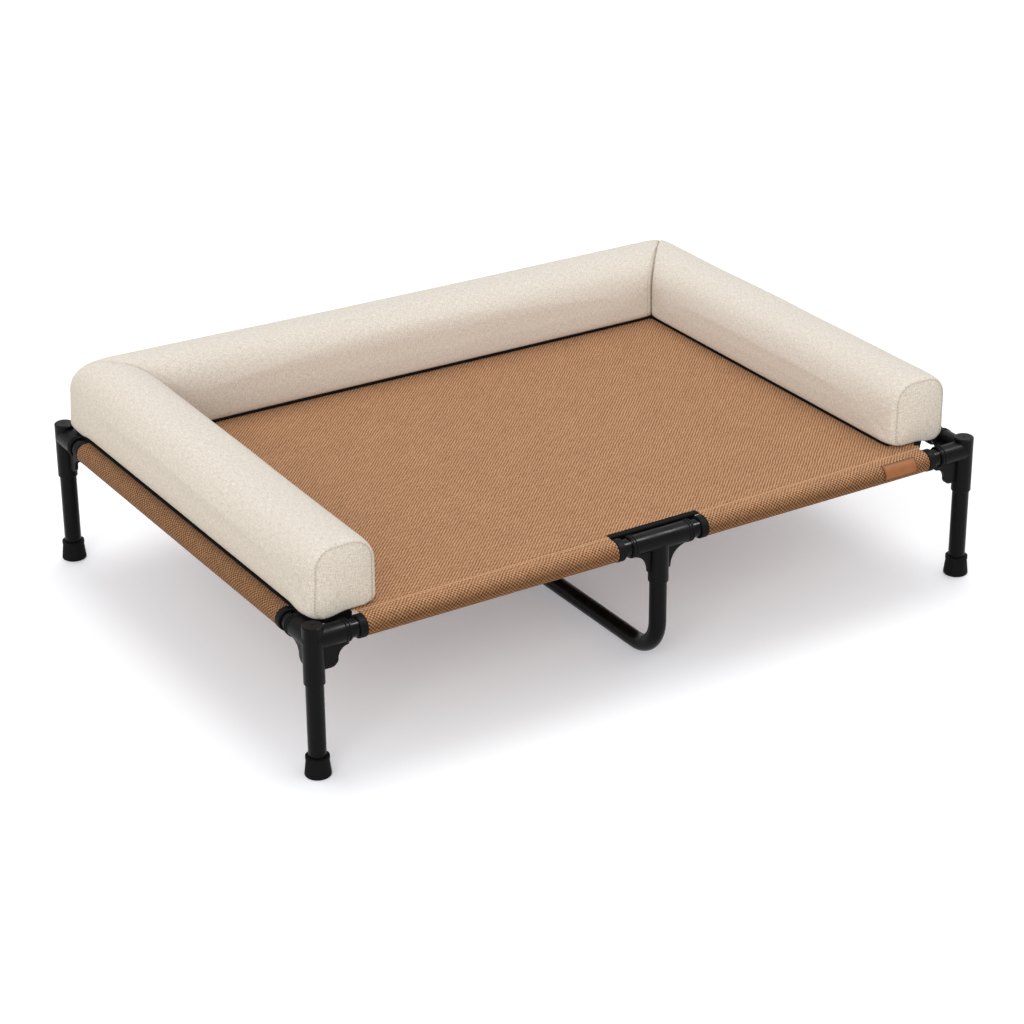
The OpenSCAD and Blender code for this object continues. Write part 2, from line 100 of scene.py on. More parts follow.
def linear(hex_colour):
    """An sRGB hex value as linear red, green and blue."""
    parts = np.array([int(hex_colour[i:i + 2], 16) for i in (1, 3, 5)]) / 255
    low = parts / 12.92
    high = ((parts + 0.055) / 1.055) ** 2.4
    return tuple(float(v) for v in np.where(parts <= 0.04045, low, high))


def colour_property(name, description, hex_colour):
    """A colour that a user may change, from its hex value."""
    return FloatVectorProperty(
        name=name, description=description, subtype="COLOR", size=3, min=0, max=1, default=linear(hex_colour)
    )


def length_property(name, description, millimetres):
    """A length that a user may change."""
    return FloatProperty(
        name=name, description=description, subtype="DISTANCE", unit="LENGTH", min=0, default=millimetres * MM
    )


def amount_property(name, description, amount):
    """A plain number from 0 that a user may change."""
    return FloatProperty(name=name, description=description, min=0, default=amount)


class MeshBedSettings(bpy.types.PropertyGroup):
    """Sizes and colours of the stretched mesh and its sleeves"""

    knot_pitch: length_property("Knot pitch", "Rows of knots in the mesh, one to the next", 2.67)
    sag: length_property("Sag", "Drop of the stretched panel in its middle", 2)
    sleeve_t: length_property("Sleeve", "Thickness of a sleeve's cloth", 1.8)
    fold_in: length_property("Fold", "Rail axis to the sewn fold on a sleeve's lap", 11)
    fold_h: length_property("Fold height", "Height of the sewn fold", 1.2)
    sway: length_property("Sway", "How far the sewn fold strays from a straight line", 0.9)
    fold_w: length_property("Fold width", "Half width of the sewn fold", 2.4)
    ripple: length_property("Ripple", "Height of the ripples along a sleeve", 0.16)
    # Painted shade: the corner flaps hang further down so that their black fills the shade under the
    # bolster's front ends
    corner_shade_drop: length_property("Corner drop", "Further drop of the tape at the corners", 14)
    binding_t: length_property("Binding", "Thickness of the tape on the cut edges", 0.8)
    patch_t: length_property("Patch", "Thickness of the leather patch", 1.2)
    knot: colour_property("Knots", "Tan of the mesh's raised knots", "#d0a076")
    pit: colour_property("Pits", "Brown between the knots", "#683f25")
    # Painted shade: the tint that darkens the sleeves round the rails and under the bolster
    sleeve_shade: colour_property("Tight", "Tint of the cloth drawn tight round a rail", "#aea79c")
    # Painted highlight: the lighter tan along the crest of each sleeve's sewn fold
    fold: colour_property("Fold", "Tan of the sewn fold", "#c39975")
    thread: colour_property("Thread", "Thread of the hems", "#c39975")
    tape: colour_property("Tape", "Binding on the cut edges", "#0e0e0f")
    leather: colour_property("Leather", "Blank patch on the front sleeve", "#9a633c")
    patch_thread: colour_property("Patch thread", "Waxed thread round the patch", "#5d3a22")


class BolsterSettings(bpy.types.PropertyGroup):
    """Sizes and colours of the bolster"""

    top_r: length_property("Top radius", "Radius of a run's top edges", 44)
    base_r: length_property("Base radius", "Radius of a run's bottom edges", 9)
    end_r: length_property("End radius", "Radius of the top edges at a sewn end", 28)
    end_base_r: length_property("End base radius", "Radius of the bottom edges at a sewn end", 12)
    end_draw: length_property("End draw", "Draw-in of the cover's sides at a sewn end", 10.5)
    end_drop: length_property("End drop", "Draw-in of the cover's top at a sewn end", 6.5)
    mitre_draw: length_property("Mitre draw", "Draw-in of the cover at a mitre seam", 4)
    draw_l: length_property("Draw length", "Length over which the cover is drawn in", 30)
    slack: length_property("Slack", "How much smaller the cover is before it is filled", 1)
    swell: length_property("Swell", "How far a point of the cover may move as it fills", 3)
    groove: length_property("Seam groove", "Depth of the groove at a sewn seam", 1.1)
    pucker: length_property("Pucker", "Height of the gathers beside a sewn seam", 0.75)
    lean: length_property("Lean", "Difference in height between the ends of the back run", 14.5)
    belly: length_property("Belly", "Bulge of the back run's inner side near the right mitre", 13)
    fuller: length_property("Fuller", "Bulge of the left run's inner side in its middle", 4)
    push: length_property("Push", "Shift of the right run towards the middle", 4)
    spread: length_property("Spread", "Bulge of the left run's outer side over its base", 3)
    droop: length_property("Droop", "Drop of the front ends' low edges past their base strips", 4)
    sink: length_property("Sink", "Further drop of the bolster's base over the open corners", 4)
    rest: length_property("Rest", "Drop of the whole bolster onto the mesh", 1)
    forward: length_property("Forward", "Shift of the left run's end to the front", 5)
    backward: length_property("Backward", "Shift of the right run's end to the back", 6)
    pressure: amount_property("Pressure", "Push of the filling", 4)
    frames: IntProperty(name="Frames", description="Steps of the filling simulation", default=20, min=2)
    fill: FloatProperty(name="Fill", description="How full the bolster is", default=0.85, min=0, max=1)
    cloth: colour_property("Cloth", "Cream cotton of the cover", "#e9e3da")
    fleck: colour_property("Flecks", "Darker flecks in the cloth", "#c5baab")
    thread: colour_property("Thread", "Thread in the seams", "#857a66")
    # Painted shade in the sewn creases
    crease_shade: colour_property("Creases", "Shade of the cloth in a seam", "#685c4b")
    base: colour_property("Base", "Non-slip cloth under the bolster", "#0b0b0c")
    # Partly painted shade: the strips come out past the cover so that their black shows as the dark line
    # under the bolster's edges
    strip_shade_out: length_property("Base edge", "How far the base strips' outer edges come out", 2.5)
    base_back: length_property("Base end", "How far the base strips stop short of the front ends", 8)


class FinishSettings(bpy.types.PropertyGroup):
    """Colours of the moulded and metal pieces"""

    nylon: colour_property("Nylon", "Moulded fittings", "#080809")
    collar: colour_property("Collars", "Stop collars", "#0d0d0e")
    paint: colour_property("Paint", "Powder coat on the tubes", "#080809")
    rubber: colour_property("Rubber", "Feet", "#101010")


class StageSettings(bpy.types.PropertyGroup):
    """Floor and light of the studio"""

    floor: colour_property("Floor", "Pale studio floor", "#f9f9f9")
    glow: amount_property("Glow", "Lift of the floor's shadow to the eye", 0.2)
    glow_tint: colour_property("Glow tint", "Cool white of that lift", "#ecf2ff")
    bounce: colour_property("Bounce", "Warm light that the floor gives back", "#d2c9bb")
    sky: amount_property("Sky", "Light from all round", 0.73)
    key: amount_property("Key", "Strength of the soft light overhead", 0.8)
    fill: amount_property("Fill", "Strength of the light from the front left", 1.24)
    glint: amount_property("Glint", "Strength of the shine on the black pieces", 2.4)


class CotSettings(bpy.types.PropertyGroup):
    """All settings of the cot"""

    bed: PointerProperty(type=MeshBedSettings)
    bolster: PointerProperty(type=BolsterSettings)
    finish: PointerProperty(type=FinishSettings)
    stage: PointerProperty(type=StageSettings)


# Meshes


def stacked(*coordinates):
    """Points or uv from their coordinates, which are spread over one grid."""
    return np.stack(np.broadcast_arrays(*coordinates), -1)


def bell(distance, width):
    """Bell curve of a distance: 1 at 0, and about a third at the width."""
    return np.exp(-((distance / width) ** 2))


def distance_along(line):
    """Distance of each point of a line from its first one, measured along it."""
    return np.concatenate([[0], np.cumsum(np.linalg.norm(np.diff(line, axis=0), axis=1))])


def grid_part(points, uv, closed=False, flip=False):
    """Quads over a grid of points, as vertices, faces and the faces' corner uv.

    A closed grid joins its last column to its first, and its uv has one more column.
    A flipped one faces the other way."""
    rows, cols = points.shape[:2]
    r = np.arange(rows - 1)[:, None]
    c = np.arange(cols if closed else cols - 1)[None, :]
    n = (c + 1) % cols
    faces = np.stack([r * cols + c, r * cols + n, (r + 1) * cols + n, (r + 1) * cols + c], -1)
    corners = np.stack([uv[r, c], uv[r, c + 1], uv[r + 1, c + 1], uv[r + 1, c]], 2)
    if flip:
        faces, corners = faces[..., ::-1], corners[..., ::-1, :]
    return points.reshape(-1, 3), faces.reshape(-1, 4), corners.reshape(-1, 4, 2)


def new_object(name, data):
    """An object in the scene that shows a mesh, a lamp or a camera."""
    made = bpy.data.objects.new(name, data)
    bpy.context.scene.collection.objects.link(made)
    return made


def mend(mesh, weld=0.0, outwards=True):
    """Merges points of a mesh that lie within weld of each other, and turns its faces outwards."""
    work = bmesh.new()
    work.from_mesh(mesh)
    if weld:
        bmesh.ops.remove_doubles(work, verts=work.verts, dist=weld)
    if outwards:
        bmesh.ops.recalc_face_normals(work, faces=work.faces)
    work.to_mesh(mesh)
    work.free()


def piece(name, parts, material, body, nodes=(), closed=False):
    """One smooth object from grid parts, with doubles merged, that rides on its body."""
    counts = np.cumsum([0] + [len(p[0]) for p in parts])
    points = np.concatenate([p[0] for p in parts])
    faces = np.concatenate([p[1] + n for p, n in zip(parts, counts)])
    mesh = bpy.data.meshes.new(name)
    mesh.vertices.add(len(points))
    mesh.vertices.foreach_set("co", points.astype(np.float32).ravel())
    mesh.loops.add(faces.size)
    mesh.loops.foreach_set("vertex_index", faces.astype(np.int32).ravel())
    mesh.polygons.add(len(faces))
    mesh.polygons.foreach_set("loop_start", np.arange(0, faces.size, faces.shape[1], dtype=np.int32))
    mesh.update(calc_edges=True)
    layer = mesh.uv_layers.new(name="Cloth")
    layer.data.foreach_set("uv", np.concatenate([p[2] for p in parts]).astype(np.float32).ravel())
    mend(mesh, WELD, closed)
    mesh.shade_smooth()
    mesh.materials.append(material)
    made = new_object(name, mesh)
    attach(made, body)
    if nodes:
        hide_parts(*nodes)
    return made


def mark(made, name, values):
    """Writes one value to each point of a piece, for its material."""
    layer = made.data.attributes.new(name, "FLOAT", "POINT")
    layer.data.foreach_set("value", values.astype(np.float32).ravel())


def thicken(made, thickness, edge=0.0):
    """Gives a sheet its thickness on its inner side, and rounds its rim."""
    solid = made.modifiers.new("Thickness", "SOLIDIFY")
    solid.thickness = thickness
    solid.offset = -1
    if edge:
        bevel = made.modifiers.new("Edge", "BEVEL")
        bevel.width = edge
        bevel.segments = 2
        bevel.limit_method = "ANGLE"
        bevel.angle_limit = math.radians(50)


def turned(points, degrees):
    """Points or uv turned about the upright axis."""
    a = math.radians(degrees)
    made = points.copy()
    made[..., 0] = points[..., 0] * math.cos(a) - points[..., 1] * math.sin(a)
    made[..., 1] = points[..., 0] * math.sin(a) + points[..., 1] * math.cos(a)
    return made


def graded(length, near, far, reach):
    """Places from 0 to length: steps of near at both ends that grow to far past reach."""
    places = [0.0]
    while places[-1] < length / 2:
        places.append(places[-1] + near + (far - near) * min(1.0, places[-1] / reach))
    half = np.array(places) * (length / 2 / places[-1])
    return np.concatenate([half, length - half[-2::-1]])


def resample(values, old, new):
    """Reads a smooth curve through values at old places again at new ones.

    Each stretch is a cubic whose end slopes are the mean of the slopes beside it."""
    flat = values.reshape(len(values), -1)
    steps = np.diff(old)[:, None]
    slopes = np.diff(flat, axis=0) / steps
    inner = (slopes[:-1] * steps[1:] + slopes[1:] * steps[:-1]) / (steps[:-1] + steps[1:])
    tangents = np.concatenate([slopes[:1], inner, slopes[-1:]])
    i = np.clip(np.searchsorted(old, new, side="right") - 1, 0, len(old) - 2)
    h = steps[i]
    t = (new[:, None] - old[i][:, None]) / h
    made = (1 + 2 * t) * (1 - t) ** 2 * flat[i] + t * (1 - t) ** 2 * h * tangents[i]
    made += t * t * (3 - 2 * t) * flat[i + 1] + t * t * (t - 1) * h * tangents[i + 1]
    return made.reshape((len(new),) + values.shape[1:])


def ripple(places, period, low, high, seed, waves=9):
    """Uneven wave about 1 high: a sum of sines whose counts per period are whole numbers."""
    random = np.random.default_rng(seed)
    counts = random.integers(low, high + 1, waves)[:, None]
    phases = random.uniform(0, FULL_TURN, waves)[:, None]
    sizes = random.uniform(0.5, 1, waves)[:, None]
    wave = (sizes * np.sin(FULL_TURN * counts * np.ravel(places)[None, :] / period + phases)).sum(0)
    return (wave / np.abs(wave).max()).reshape(np.shape(places))


Stitch = namedtuple("Stitch", "pitch length thick")
HEM_STITCH = Stitch(4.4 * MM, 3 * MM, 0.6 * MM)
PATCH_STITCH = Stitch(3.2 * MM, 2.2 * MM, 0.6 * MM)
SEAM_STITCH = Stitch(4.4 * MM, 3 * MM, 0.45 * MM)


def stitch_parts(path, lift, stitch):
    """Short round-ended threads along a path, each laid on the path's surface.

    A stitch is a tube of six sides whose radius goes as a half ellipse from end to end."""
    at = distance_along(path)
    count = int(at[-1] / stitch.pitch)
    middles = (np.arange(count) + 0.5) * at[-1] / count

    def read(values, places):
        return np.stack([np.interp(places, at, values[:, k]) for k in range(3)], 1)

    here = read(path, middles)
    along = read(path, middles + stitch.length / 4) - here
    along /= np.linalg.norm(along, axis=1)[:, None]
    up = read(lift, middles)
    up -= (up * along).sum(1)[:, None] * along
    up /= np.linalg.norm(up, axis=1)[:, None]
    across = np.cross(along, up)
    sides, rings = 6, 5
    turn = np.linspace(0, FULL_TURN, sides, endpoint=False)
    t = np.linspace(1, -1, rings)[:, None]
    width = stitch.thick / 2 * np.sqrt(np.maximum(1 - t**2, 0.0))
    x = t * stitch.length / 2 * np.ones(sides)
    made = here[:, None, None, :]
    for share, way in ((x, along), (width * np.cos(turn), across), (width * np.sin(turn), up)):
        made = made + share[None, :, :, None] * way[:, None, None, :]
    faces, corners = grid_part(made[0], np.zeros((rings, sides + 1, 2)), closed=True)[1:]
    starts = np.arange(count)[:, None, None] * (rings * sides)
    return made.reshape(-1, 3), (faces + starts).reshape(-1, 4), np.tile(corners, (count, 1, 1))


# Materials

COLOUR_MIX = {"output": "Result", "data_type": "RGBA"}
EASED = {"interpolation_type": "SMOOTHSTEP"}


def plug(tree, node, inputs):
    """Sets a node's inputs, each to a value or from a socket."""
    for socket, value in inputs.items():
        if isinstance(value, bpy.types.NodeSocket):
            tree.links.new(value, node.inputs[socket])
        else:
            node.inputs[socket].default_value = value


def add(tree, kind, inputs=None, output=0, **settings):
    """Adds one node with its settings and inputs, and gives one of its outputs, or the node for None."""
    node = tree.nodes.new("ShaderNode" + kind)
    for name, value in settings.items():
        setattr(node, name, value)
    plug(tree, node, inputs or {})
    return node if output is None else node.outputs[output]


def new_material(name):
    """A material and its node tree, which starts with a Principled shader."""
    material = bpy.data.materials.new(name)
    material.use_nodes = True
    return material, material.node_tree


def shaded(material, inputs):
    """Sets the inputs of a material's Principled shader, and gives the material."""
    tree = material.node_tree
    plug(tree, tree.nodes["Principled BSDF"], inputs)
    return material


def rgba(colour, share=1.0):
    """A colour times a share, with full alpha."""
    return (colour[0] * share, colour[1] * share, colour[2] * share, 1)


def per_metre(size_mm):
    """Scale of a pattern whose cells or lumps are size_mm across."""
    return 1 / (size_mm * MM)


def drifted(tree, place, size_mm, shift):
    """Places that a noise moves by up to shift, as no loom lays every thread alike."""
    drift = add(tree, "TexNoise", {"Vector": place, "Scale": per_metre(size_mm), "Detail": 1.0}, "Color")
    even = add(tree, "VectorMath", {0: drift, 1: (0.5, 0.5, 0.5)}, operation="SUBTRACT")
    return add(tree, "VectorMath", {0: even, 1: (2 * shift,) * 3, 2: place}, operation="MULTIPLY_ADD")


def sine_rows(tree, place, axis, pitch):
    """Sine along one axis, with one half wave to each pitch."""
    way = add(tree, "SeparateXYZ", {0: place}, axis)
    turns = add(tree, "Math", {0: way, 1: math.pi / pitch}, operation="MULTIPLY")
    return add(tree, "Math", {0: turns}, operation="SINE")


def moulded_black(name, colour, rough, level, grain_mm):
    """Moulded plastic or rubber: the mould's spark-eroded grain breaks up a soft sheen."""
    material, tree = new_material(name)
    place = add(tree, "TexCoord", output="Object")
    blotch = add(tree, "TexNoise", {"Vector": place, "Scale": per_metre(28), "Detail": 3.0})
    grain = add(tree, "TexNoise", {"Vector": place, "Scale": per_metre(grain_mm)})
    uneven = {"From Min": 0.3, "From Max": 0.7, "To Min": rough - 0.07, "To Max": rough + 0.07}
    ends = {"A": rgba(colour, 0.7), "B": rgba(colour, 1.3)}
    return shaded(material, {
        "Base Color": add(tree, "Mix", {"Factor": blotch, **ends}, **COLOUR_MIX),
        "Roughness": add(tree, "MapRange", {"Value": blotch, **uneven}, **EASED),
        "Normal": add(tree, "Bump", {"Height": grain, "Strength": 0.16, "Distance": 0.12 * MM}),
        "Specular IOR Level": level,
    })


def mesh_cloth(bed):
    """Coated polyester mesh: staggered tan knots with dark pits between them.

    It is lighter along a sewn fold, which is a painted highlight on the fold's crest, and darker round the
    rails, which is painted shade on the sleeves' lower sides and under the bolster. The knots are drawn a
    little coarser than they are, so that they show."""
    luck_share, fold_highlight_share = 0.35, 0.6
    material, tree = new_material("Mesh cloth polyester")
    uv = add(tree, "UVMap", uv_map="Cloth")
    laid = drifted(tree, uv, size_mm=14, shift=0.5 * bed.knot_pitch)
    across = sine_rows(tree, laid, "X", bed.knot_pitch)
    along = sine_rows(tree, laid, "Y", bed.knot_pitch)
    knots = add(tree, "Math", {0: across, 1: along}, operation="MULTIPLY")
    counted = add(tree, "VectorMath", {0: laid, 1: (1 / bed.knot_pitch,) * 3}, operation="MULTIPLY")
    cell = add(tree, "VectorMath", {0: counted}, operation="FLOOR")
    luck = add(tree, "TexWhiteNoise", {"Vector": cell}, noise_dimensions="2D")
    relief = add(tree, "Math", {0: luck, 1: luck_share, 2: knots}, operation="MULTIPLY_ADD")
    high = add(tree, "MapRange", {"Value": relief, "From Min": -0.45, "From Max": 0.83}, **EASED)
    weave = add(tree, "Mix", {"Factor": high, "A": rgba(bed.pit), "B": rgba(bed.knot)}, **COLOUR_MIX)
    # Painted shade: a tint darkens the sleeves down from the rails' tops and under the bolster
    sleeve_shade = add(tree, "Attribute", output="Fac", attribute_name="sleeve_shade")
    shade_tint = add(tree, "Mix", {"Factor": sleeve_shade, "A": (1, 1, 1, 1), "B": rgba(bed.sleeve_shade)}, **COLOUR_MIX)
    drawn = add(tree, "VectorMath", {0: weave, 1: shade_tint}, operation="MULTIPLY")
    broad = add(tree, "TexNoise", {"Vector": uv, "Scale": per_metre(60), "Detail": 4.0})
    small = add(tree, "TexNoise", {"Vector": uv, "Scale": per_metre(5)})
    cloud = add(tree, "Math", {0: broad, 1: small}, operation="ADD")
    tones = {"From Min": 0.6, "From Max": 1.4, "To Min": 0.94, "To Max": 1.05}
    tone = add(tree, "MapRange", {"Value": cloud, **tones}, **EASED)
    shade = add(tree, "VectorMath", {0: drawn, "Scale": tone}, operation="SCALE")
    # Painted highlight: the cloth turns lighter along the crest of the sewn fold
    fold = add(tree, "Attribute", output="Fac", attribute_name="fold")
    sewn = add(tree, "Math", {0: fold, 1: fold_highlight_share}, operation="MULTIPLY")
    return shaded(material, {
        "Base Color": add(tree, "Mix", {"Factor": sewn, "A": shade, "B": rgba(bed.fold)}, **COLOUR_MIX),
        "Normal": add(tree, "Bump", {"Height": knots, "Strength": 0.45, "Distance": 0.5 * MM}),
        "Roughness": 0.78, "Specular IOR Level": 0.12, "Sheen Weight": 0.04, "Sheen Roughness": 0.5,
    })


def slubs(tree, place, *sizes_mm):
    """Streaks of uneven yarn: noise drawn out to one size along X and another along Y."""
    scales = tuple(per_metre(size) for size in sizes_mm) + (per_metre(1),)
    drawn = add(tree, "VectorMath", {0: place, 1: scales}, operation="MULTIPLY")
    return add(tree, "TexNoise", {"Vector": drawn, "Scale": 1.0})


def bolster_cloth(bolster):
    """Slubby cotton canvas: a matt cream whose uneven yarns cross, with painted shade in the sewn creases.

    The real yarns are about 0.6 mm thick; they are drawn at about 2 mm, so that they show."""
    material, tree = new_material("Bolster cotton canvas")
    uv = add(tree, "UVMap", uv_map="Cloth")
    yarn_l, yarn_w, yarn_share, crease_shade_share = 8, 1.7, 0.4, 0.27
    weft, warp = slubs(tree, uv, yarn_l, yarn_w), slubs(tree, uv, yarn_w, yarn_l)
    yarns = add(tree, "Math", {0: weft, 1: warp}, operation="ADD")
    fuzz = {"Scale": per_metre(1.6), "Detail": 3.0, "Roughness": 0.7}
    nap = add(tree, "TexNoise", {"Vector": uv, **fuzz})
    mottle = add(tree, "Math", {0: yarns, 1: yarn_share, 2: nap}, operation="MULTIPLY_ADD")
    faint = add(tree, "MapRange", {"Value": mottle, "From Min": 1.15, "From Max": 0.65}, **EASED)
    ends = {"A": rgba(bolster.cloth), "B": rgba(bolster.fleck)}
    cloth = add(tree, "Mix", {"Factor": faint, **ends}, **COLOUR_MIX)
    # Painted shade: the cloth darkens at each seam's crease
    crease_shade = add(tree, "Attribute", output="Fac", attribute_name="crease_shade")
    sunk_shade = add(tree, "Math", {0: crease_shade, 1: crease_shade_share}, operation="MULTIPLY")
    return shaded(material, {
        "Base Color": add(tree, "Mix", {"Factor": sunk_shade, "A": cloth, "B": rgba(bolster.crease_shade)}, **COLOUR_MIX),
        "Normal": add(tree, "Bump", {"Height": mottle, "Strength": 0.4, "Distance": 0.3 * MM}),
        "Roughness": 0.92, "Specular IOR Level": 0.1, "Sheen Weight": 0.1, "Sheen Roughness": 0.6,
    })


def woven_tape(name, colour, rib_mm):
    """Woven polyester tape or base cloth: matt black with ribs across its length."""
    material, tree = new_material(name)
    rib = sine_rows(tree, add(tree, "UVMap", uv_map="Cloth"), "X", rib_mm * MM)
    high = add(tree, "MapRange", {"Value": rib, "From Min": -1.0, "From Max": 1.0}, **EASED)
    ends = {"A": rgba(colour, 0.7), "B": rgba(colour, 1.25)}
    return shaded(material, {
        "Base Color": add(tree, "Mix", {"Factor": high, **ends}, **COLOUR_MIX),
        "Normal": add(tree, "Bump", {"Height": rib, "Strength": 0.4, "Distance": 0.2 * MM}),
        "Roughness": 0.8, "Specular IOR Level": 0.08,
    })


def patch_leather(colour):
    """Vegetable-tanned leather: fine cells in the grain, cloudy brown, a satin finish and a dark rim."""
    material, tree = new_material("Patch leather")
    uv = add(tree, "UVMap", uv_map="Cloth")
    cells = add(tree, "TexVoronoi", {"Vector": uv, "Scale": per_metre(1.4)}, voronoi_dimensions="2D")
    cloud = add(tree, "TexNoise", {"Vector": uv, "Scale": per_metre(9), "Detail": 4.0})
    rim = add(tree, "Attribute", output="Fac", attribute_name="rim")
    ends = {"A": rgba(colour, 0.75), "B": rgba(colour, 1.2)}
    face = add(tree, "Mix", {"Factor": cloud, **ends}, **COLOUR_MIX)
    satin = {"From Min": 0.0, "From Max": 1.0, "To Min": 0.45, "To Max": 0.65}
    return shaded(material, {
        "Base Color": add(tree, "Mix", {"Factor": rim, "A": face, "B": rgba(colour, 0.22)}, **COLOUR_MIX),
        "Roughness": add(tree, "MapRange", {"Value": cloud, **satin}, **EASED),
        "Normal": add(tree, "Bump", {"Height": cells, "Strength": 0.35, "Distance": 0.25 * MM}),
        "Specular IOR Level": 0.2,
    })


def sewing_thread(name, colour):
    """Spun thread: matt, with a little sheen and uneven tone."""
    material, tree = new_material(name)
    place = add(tree, "TexCoord", output="Object")
    fibre = add(tree, "TexNoise", {"Vector": place, "Scale": per_metre(1.2)})
    ends = {"A": rgba(colour, 0.8), "B": rgba(colour, 1.15)}
    return shaded(material, {
        "Base Color": add(tree, "Mix", {"Factor": fibre, **ends}, **COLOUR_MIX),
        "Roughness": 0.7, "Specular IOR Level": 0.15, "Sheen Weight": 0.05,
    })


def powder_coat(colour):
    """Powder-coated steel tube: a smooth satin black with a faint orange peel."""
    material, tree = new_material("Powder coat black")
    place = add(tree, "TexCoord", output="Object")
    cloud = add(tree, "TexNoise", {"Vector": place, "Scale": per_metre(45), "Detail": 3.0})
    peel = add(tree, "TexNoise", {"Vector": place, "Scale": per_metre(2.4), "Detail": 1.0})
    ends = {"A": rgba(colour, 0.8), "B": rgba(colour, 1.2)}
    satin = {"From Min": 0.2, "From Max": 0.8, "To Min": 0.2, "To Max": 0.32}
    return shaded(material, {
        "Base Color": add(tree, "Mix", {"Factor": cloud, **ends}, **COLOUR_MIX),
        "Roughness": add(tree, "MapRange", {"Value": cloud, **satin}, **EASED),
        "Normal": add(tree, "Bump", {"Height": peel, "Strength": 0.1, "Distance": 0.1 * MM}),
        "Specular IOR Level": 0.1,
    })


def seen_rays(tree):
    """1 for the rays that show a thing, straight, in a shine or through glass; 0 for those that light it."""
    rays = add(tree, "LightPath", output=None).outputs
    through = {0: rays["Is Glossy Ray"], 1: rays["Is Transmission Ray"]}
    shine = add(tree, "Math", through, operation="MAXIMUM")
    return add(tree, "Math", {0: rays["Is Camera Ray"], 1: shine}, operation="MAXIMUM")


def studio_paper(stage):
    """Seamless paper: white to the eye, where a glow lifts the shadow, and a duller bounce onto the cot."""
    material, tree = new_material("Studio paper")
    place = add(tree, "TexCoord", output="Object")
    fibre = add(tree, "TexNoise", {"Vector": place, "Scale": per_metre(4)})
    ends = {"A": rgba(stage.floor, 0.99), "B": rgba(stage.floor)}
    paper = add(tree, "Mix", {"Factor": fibre, **ends}, **COLOUR_MIX)
    seen = seen_rays(tree)
    return shaded(material, {
        "Base Color": add(tree, "Mix", {"Factor": seen, "A": rgba(stage.bounce), "B": paper}, **COLOUR_MIX),
        "Emission Color": rgba(stage.glow_tint),
        "Emission Strength": add(tree, "Math", {0: seen, 1: stage.glow}, operation="MULTIPLY"),
        "Roughness": 0.95, "Specular IOR Level": 0.0,
    })


def dress(material, names):
    """Gives CAD nodes a finish; their meshes stay as packed."""
    for name in names:
        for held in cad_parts[name].material_slots:
            held.material = material


# Pieces


def panel_height(bed, x, y):
    """The panel's top: the sag times one less the squares of both shares of the half sizes."""
    return panel_high[2] - bed.sag * (1 - (x / seam_x) ** 2) * (1 - (y / seam_y) ** 2)


def panel_grid(bed):
    """Stretched panel: x is a share of the half width at y, which narrows over the corner cuts."""
    rows, cols = 73, 105
    y = np.unique(np.concatenate([np.linspace(-seam_y, seam_y, rows), [-cut_y, cut_y]]))[:, None]
    half = np.interp(np.abs(y), [cut_y, seam_y], [seam_x, cut_x])
    x = half * np.linspace(-1, 1, cols)
    return stacked(x, y, panel_height(bed, x, y)), stacked(x, y)


def sleeve_outline(bed):
    """Sleeve across its rail: inboard, up, unrolled distance from the rail's top line, and the fold.

    It runs from the hem under the panel round the rail and over its top, to lap onto the panel. On the
    lap it rises by the fold's height times a bell curve of the distance from the fold's line."""
    round_steps, flat_steps, fold_step, lap_rise = 76, 8, 0.5 * MM, 0.15 * MM
    before_fold, after_fold = 4.4 * MM, 2.6 * MM
    hem_h = sleeve_r - panel_t - bed.sleeve_t
    meet = math.atan2(hem_h, math.sqrt(sleeve_r**2 - hem_h**2))
    angle = np.linspace(meet, -1.5 * math.pi, round_steps)
    ring = stacked(sleeve_r * np.cos(angle), sleeve_r * np.sin(angle))
    hem = stacked(np.linspace(hem_in, ring[0, 0], flat_steps), hem_h)[:-1]
    near_fold = np.arange(bed.fold_in - before_fold, bed.fold_in + after_fold, fold_step)
    reach = np.concatenate([np.linspace(0, near_fold[0] - MM, flat_steps)[1:], near_fold])
    fold = bell(reach - bed.fold_in, bed.fold_w)
    top = stacked(reach, sleeve_r + lap_rise * reach / reach[-1] + bed.fold_h * fold)
    line = np.concatenate([hem, ring, top])
    before = len(hem) + len(ring)
    along = distance_along(line)
    return line, along - along[before - 1], np.concatenate([np.zeros(before), fold])


def fold_sway(bed, x, seed):
    """How far a sleeve's sewn fold strays inboard at each place along its rail: an uneven wave."""
    return bed.sway * ripple(x - x[0], x[-1] - x[0], 3, 8, seed + 30)


def sleeve_grid(bed, low, high, turn, post, seed):
    """Sleeve from low to high along its rail, with small ripples where it is sewn."""
    line, unrolled, fold = sleeve_outline(bed)
    sewn_at, sewn_w, lead, fewest, most = 0.7 * seam_in, 5 * MM, 4 * MM, 22, 46
    x = low + graded(high - low, near=2 * MM, far=6 * MM, reach=20 * MM)
    stray = fold_sway(bed, x, seed)[:, None] * np.clip(unrolled / (bed.fold_in - lead), 0, 1)
    sewn = bell(unrolled - sewn_at, sewn_w)
    lift = bed.ripple * ripple(x, high - low, fewest, most, seed)[:, None] * sewn
    points = stacked(x[:, None], line[:, 0] - post + stray, rail_z + line[:, 1] + lift)
    uv = stacked(x[:, None], unrolled - post)
    return turned(points, turn), turned(uv, turn), np.repeat(fold[None, :], len(x), 0)


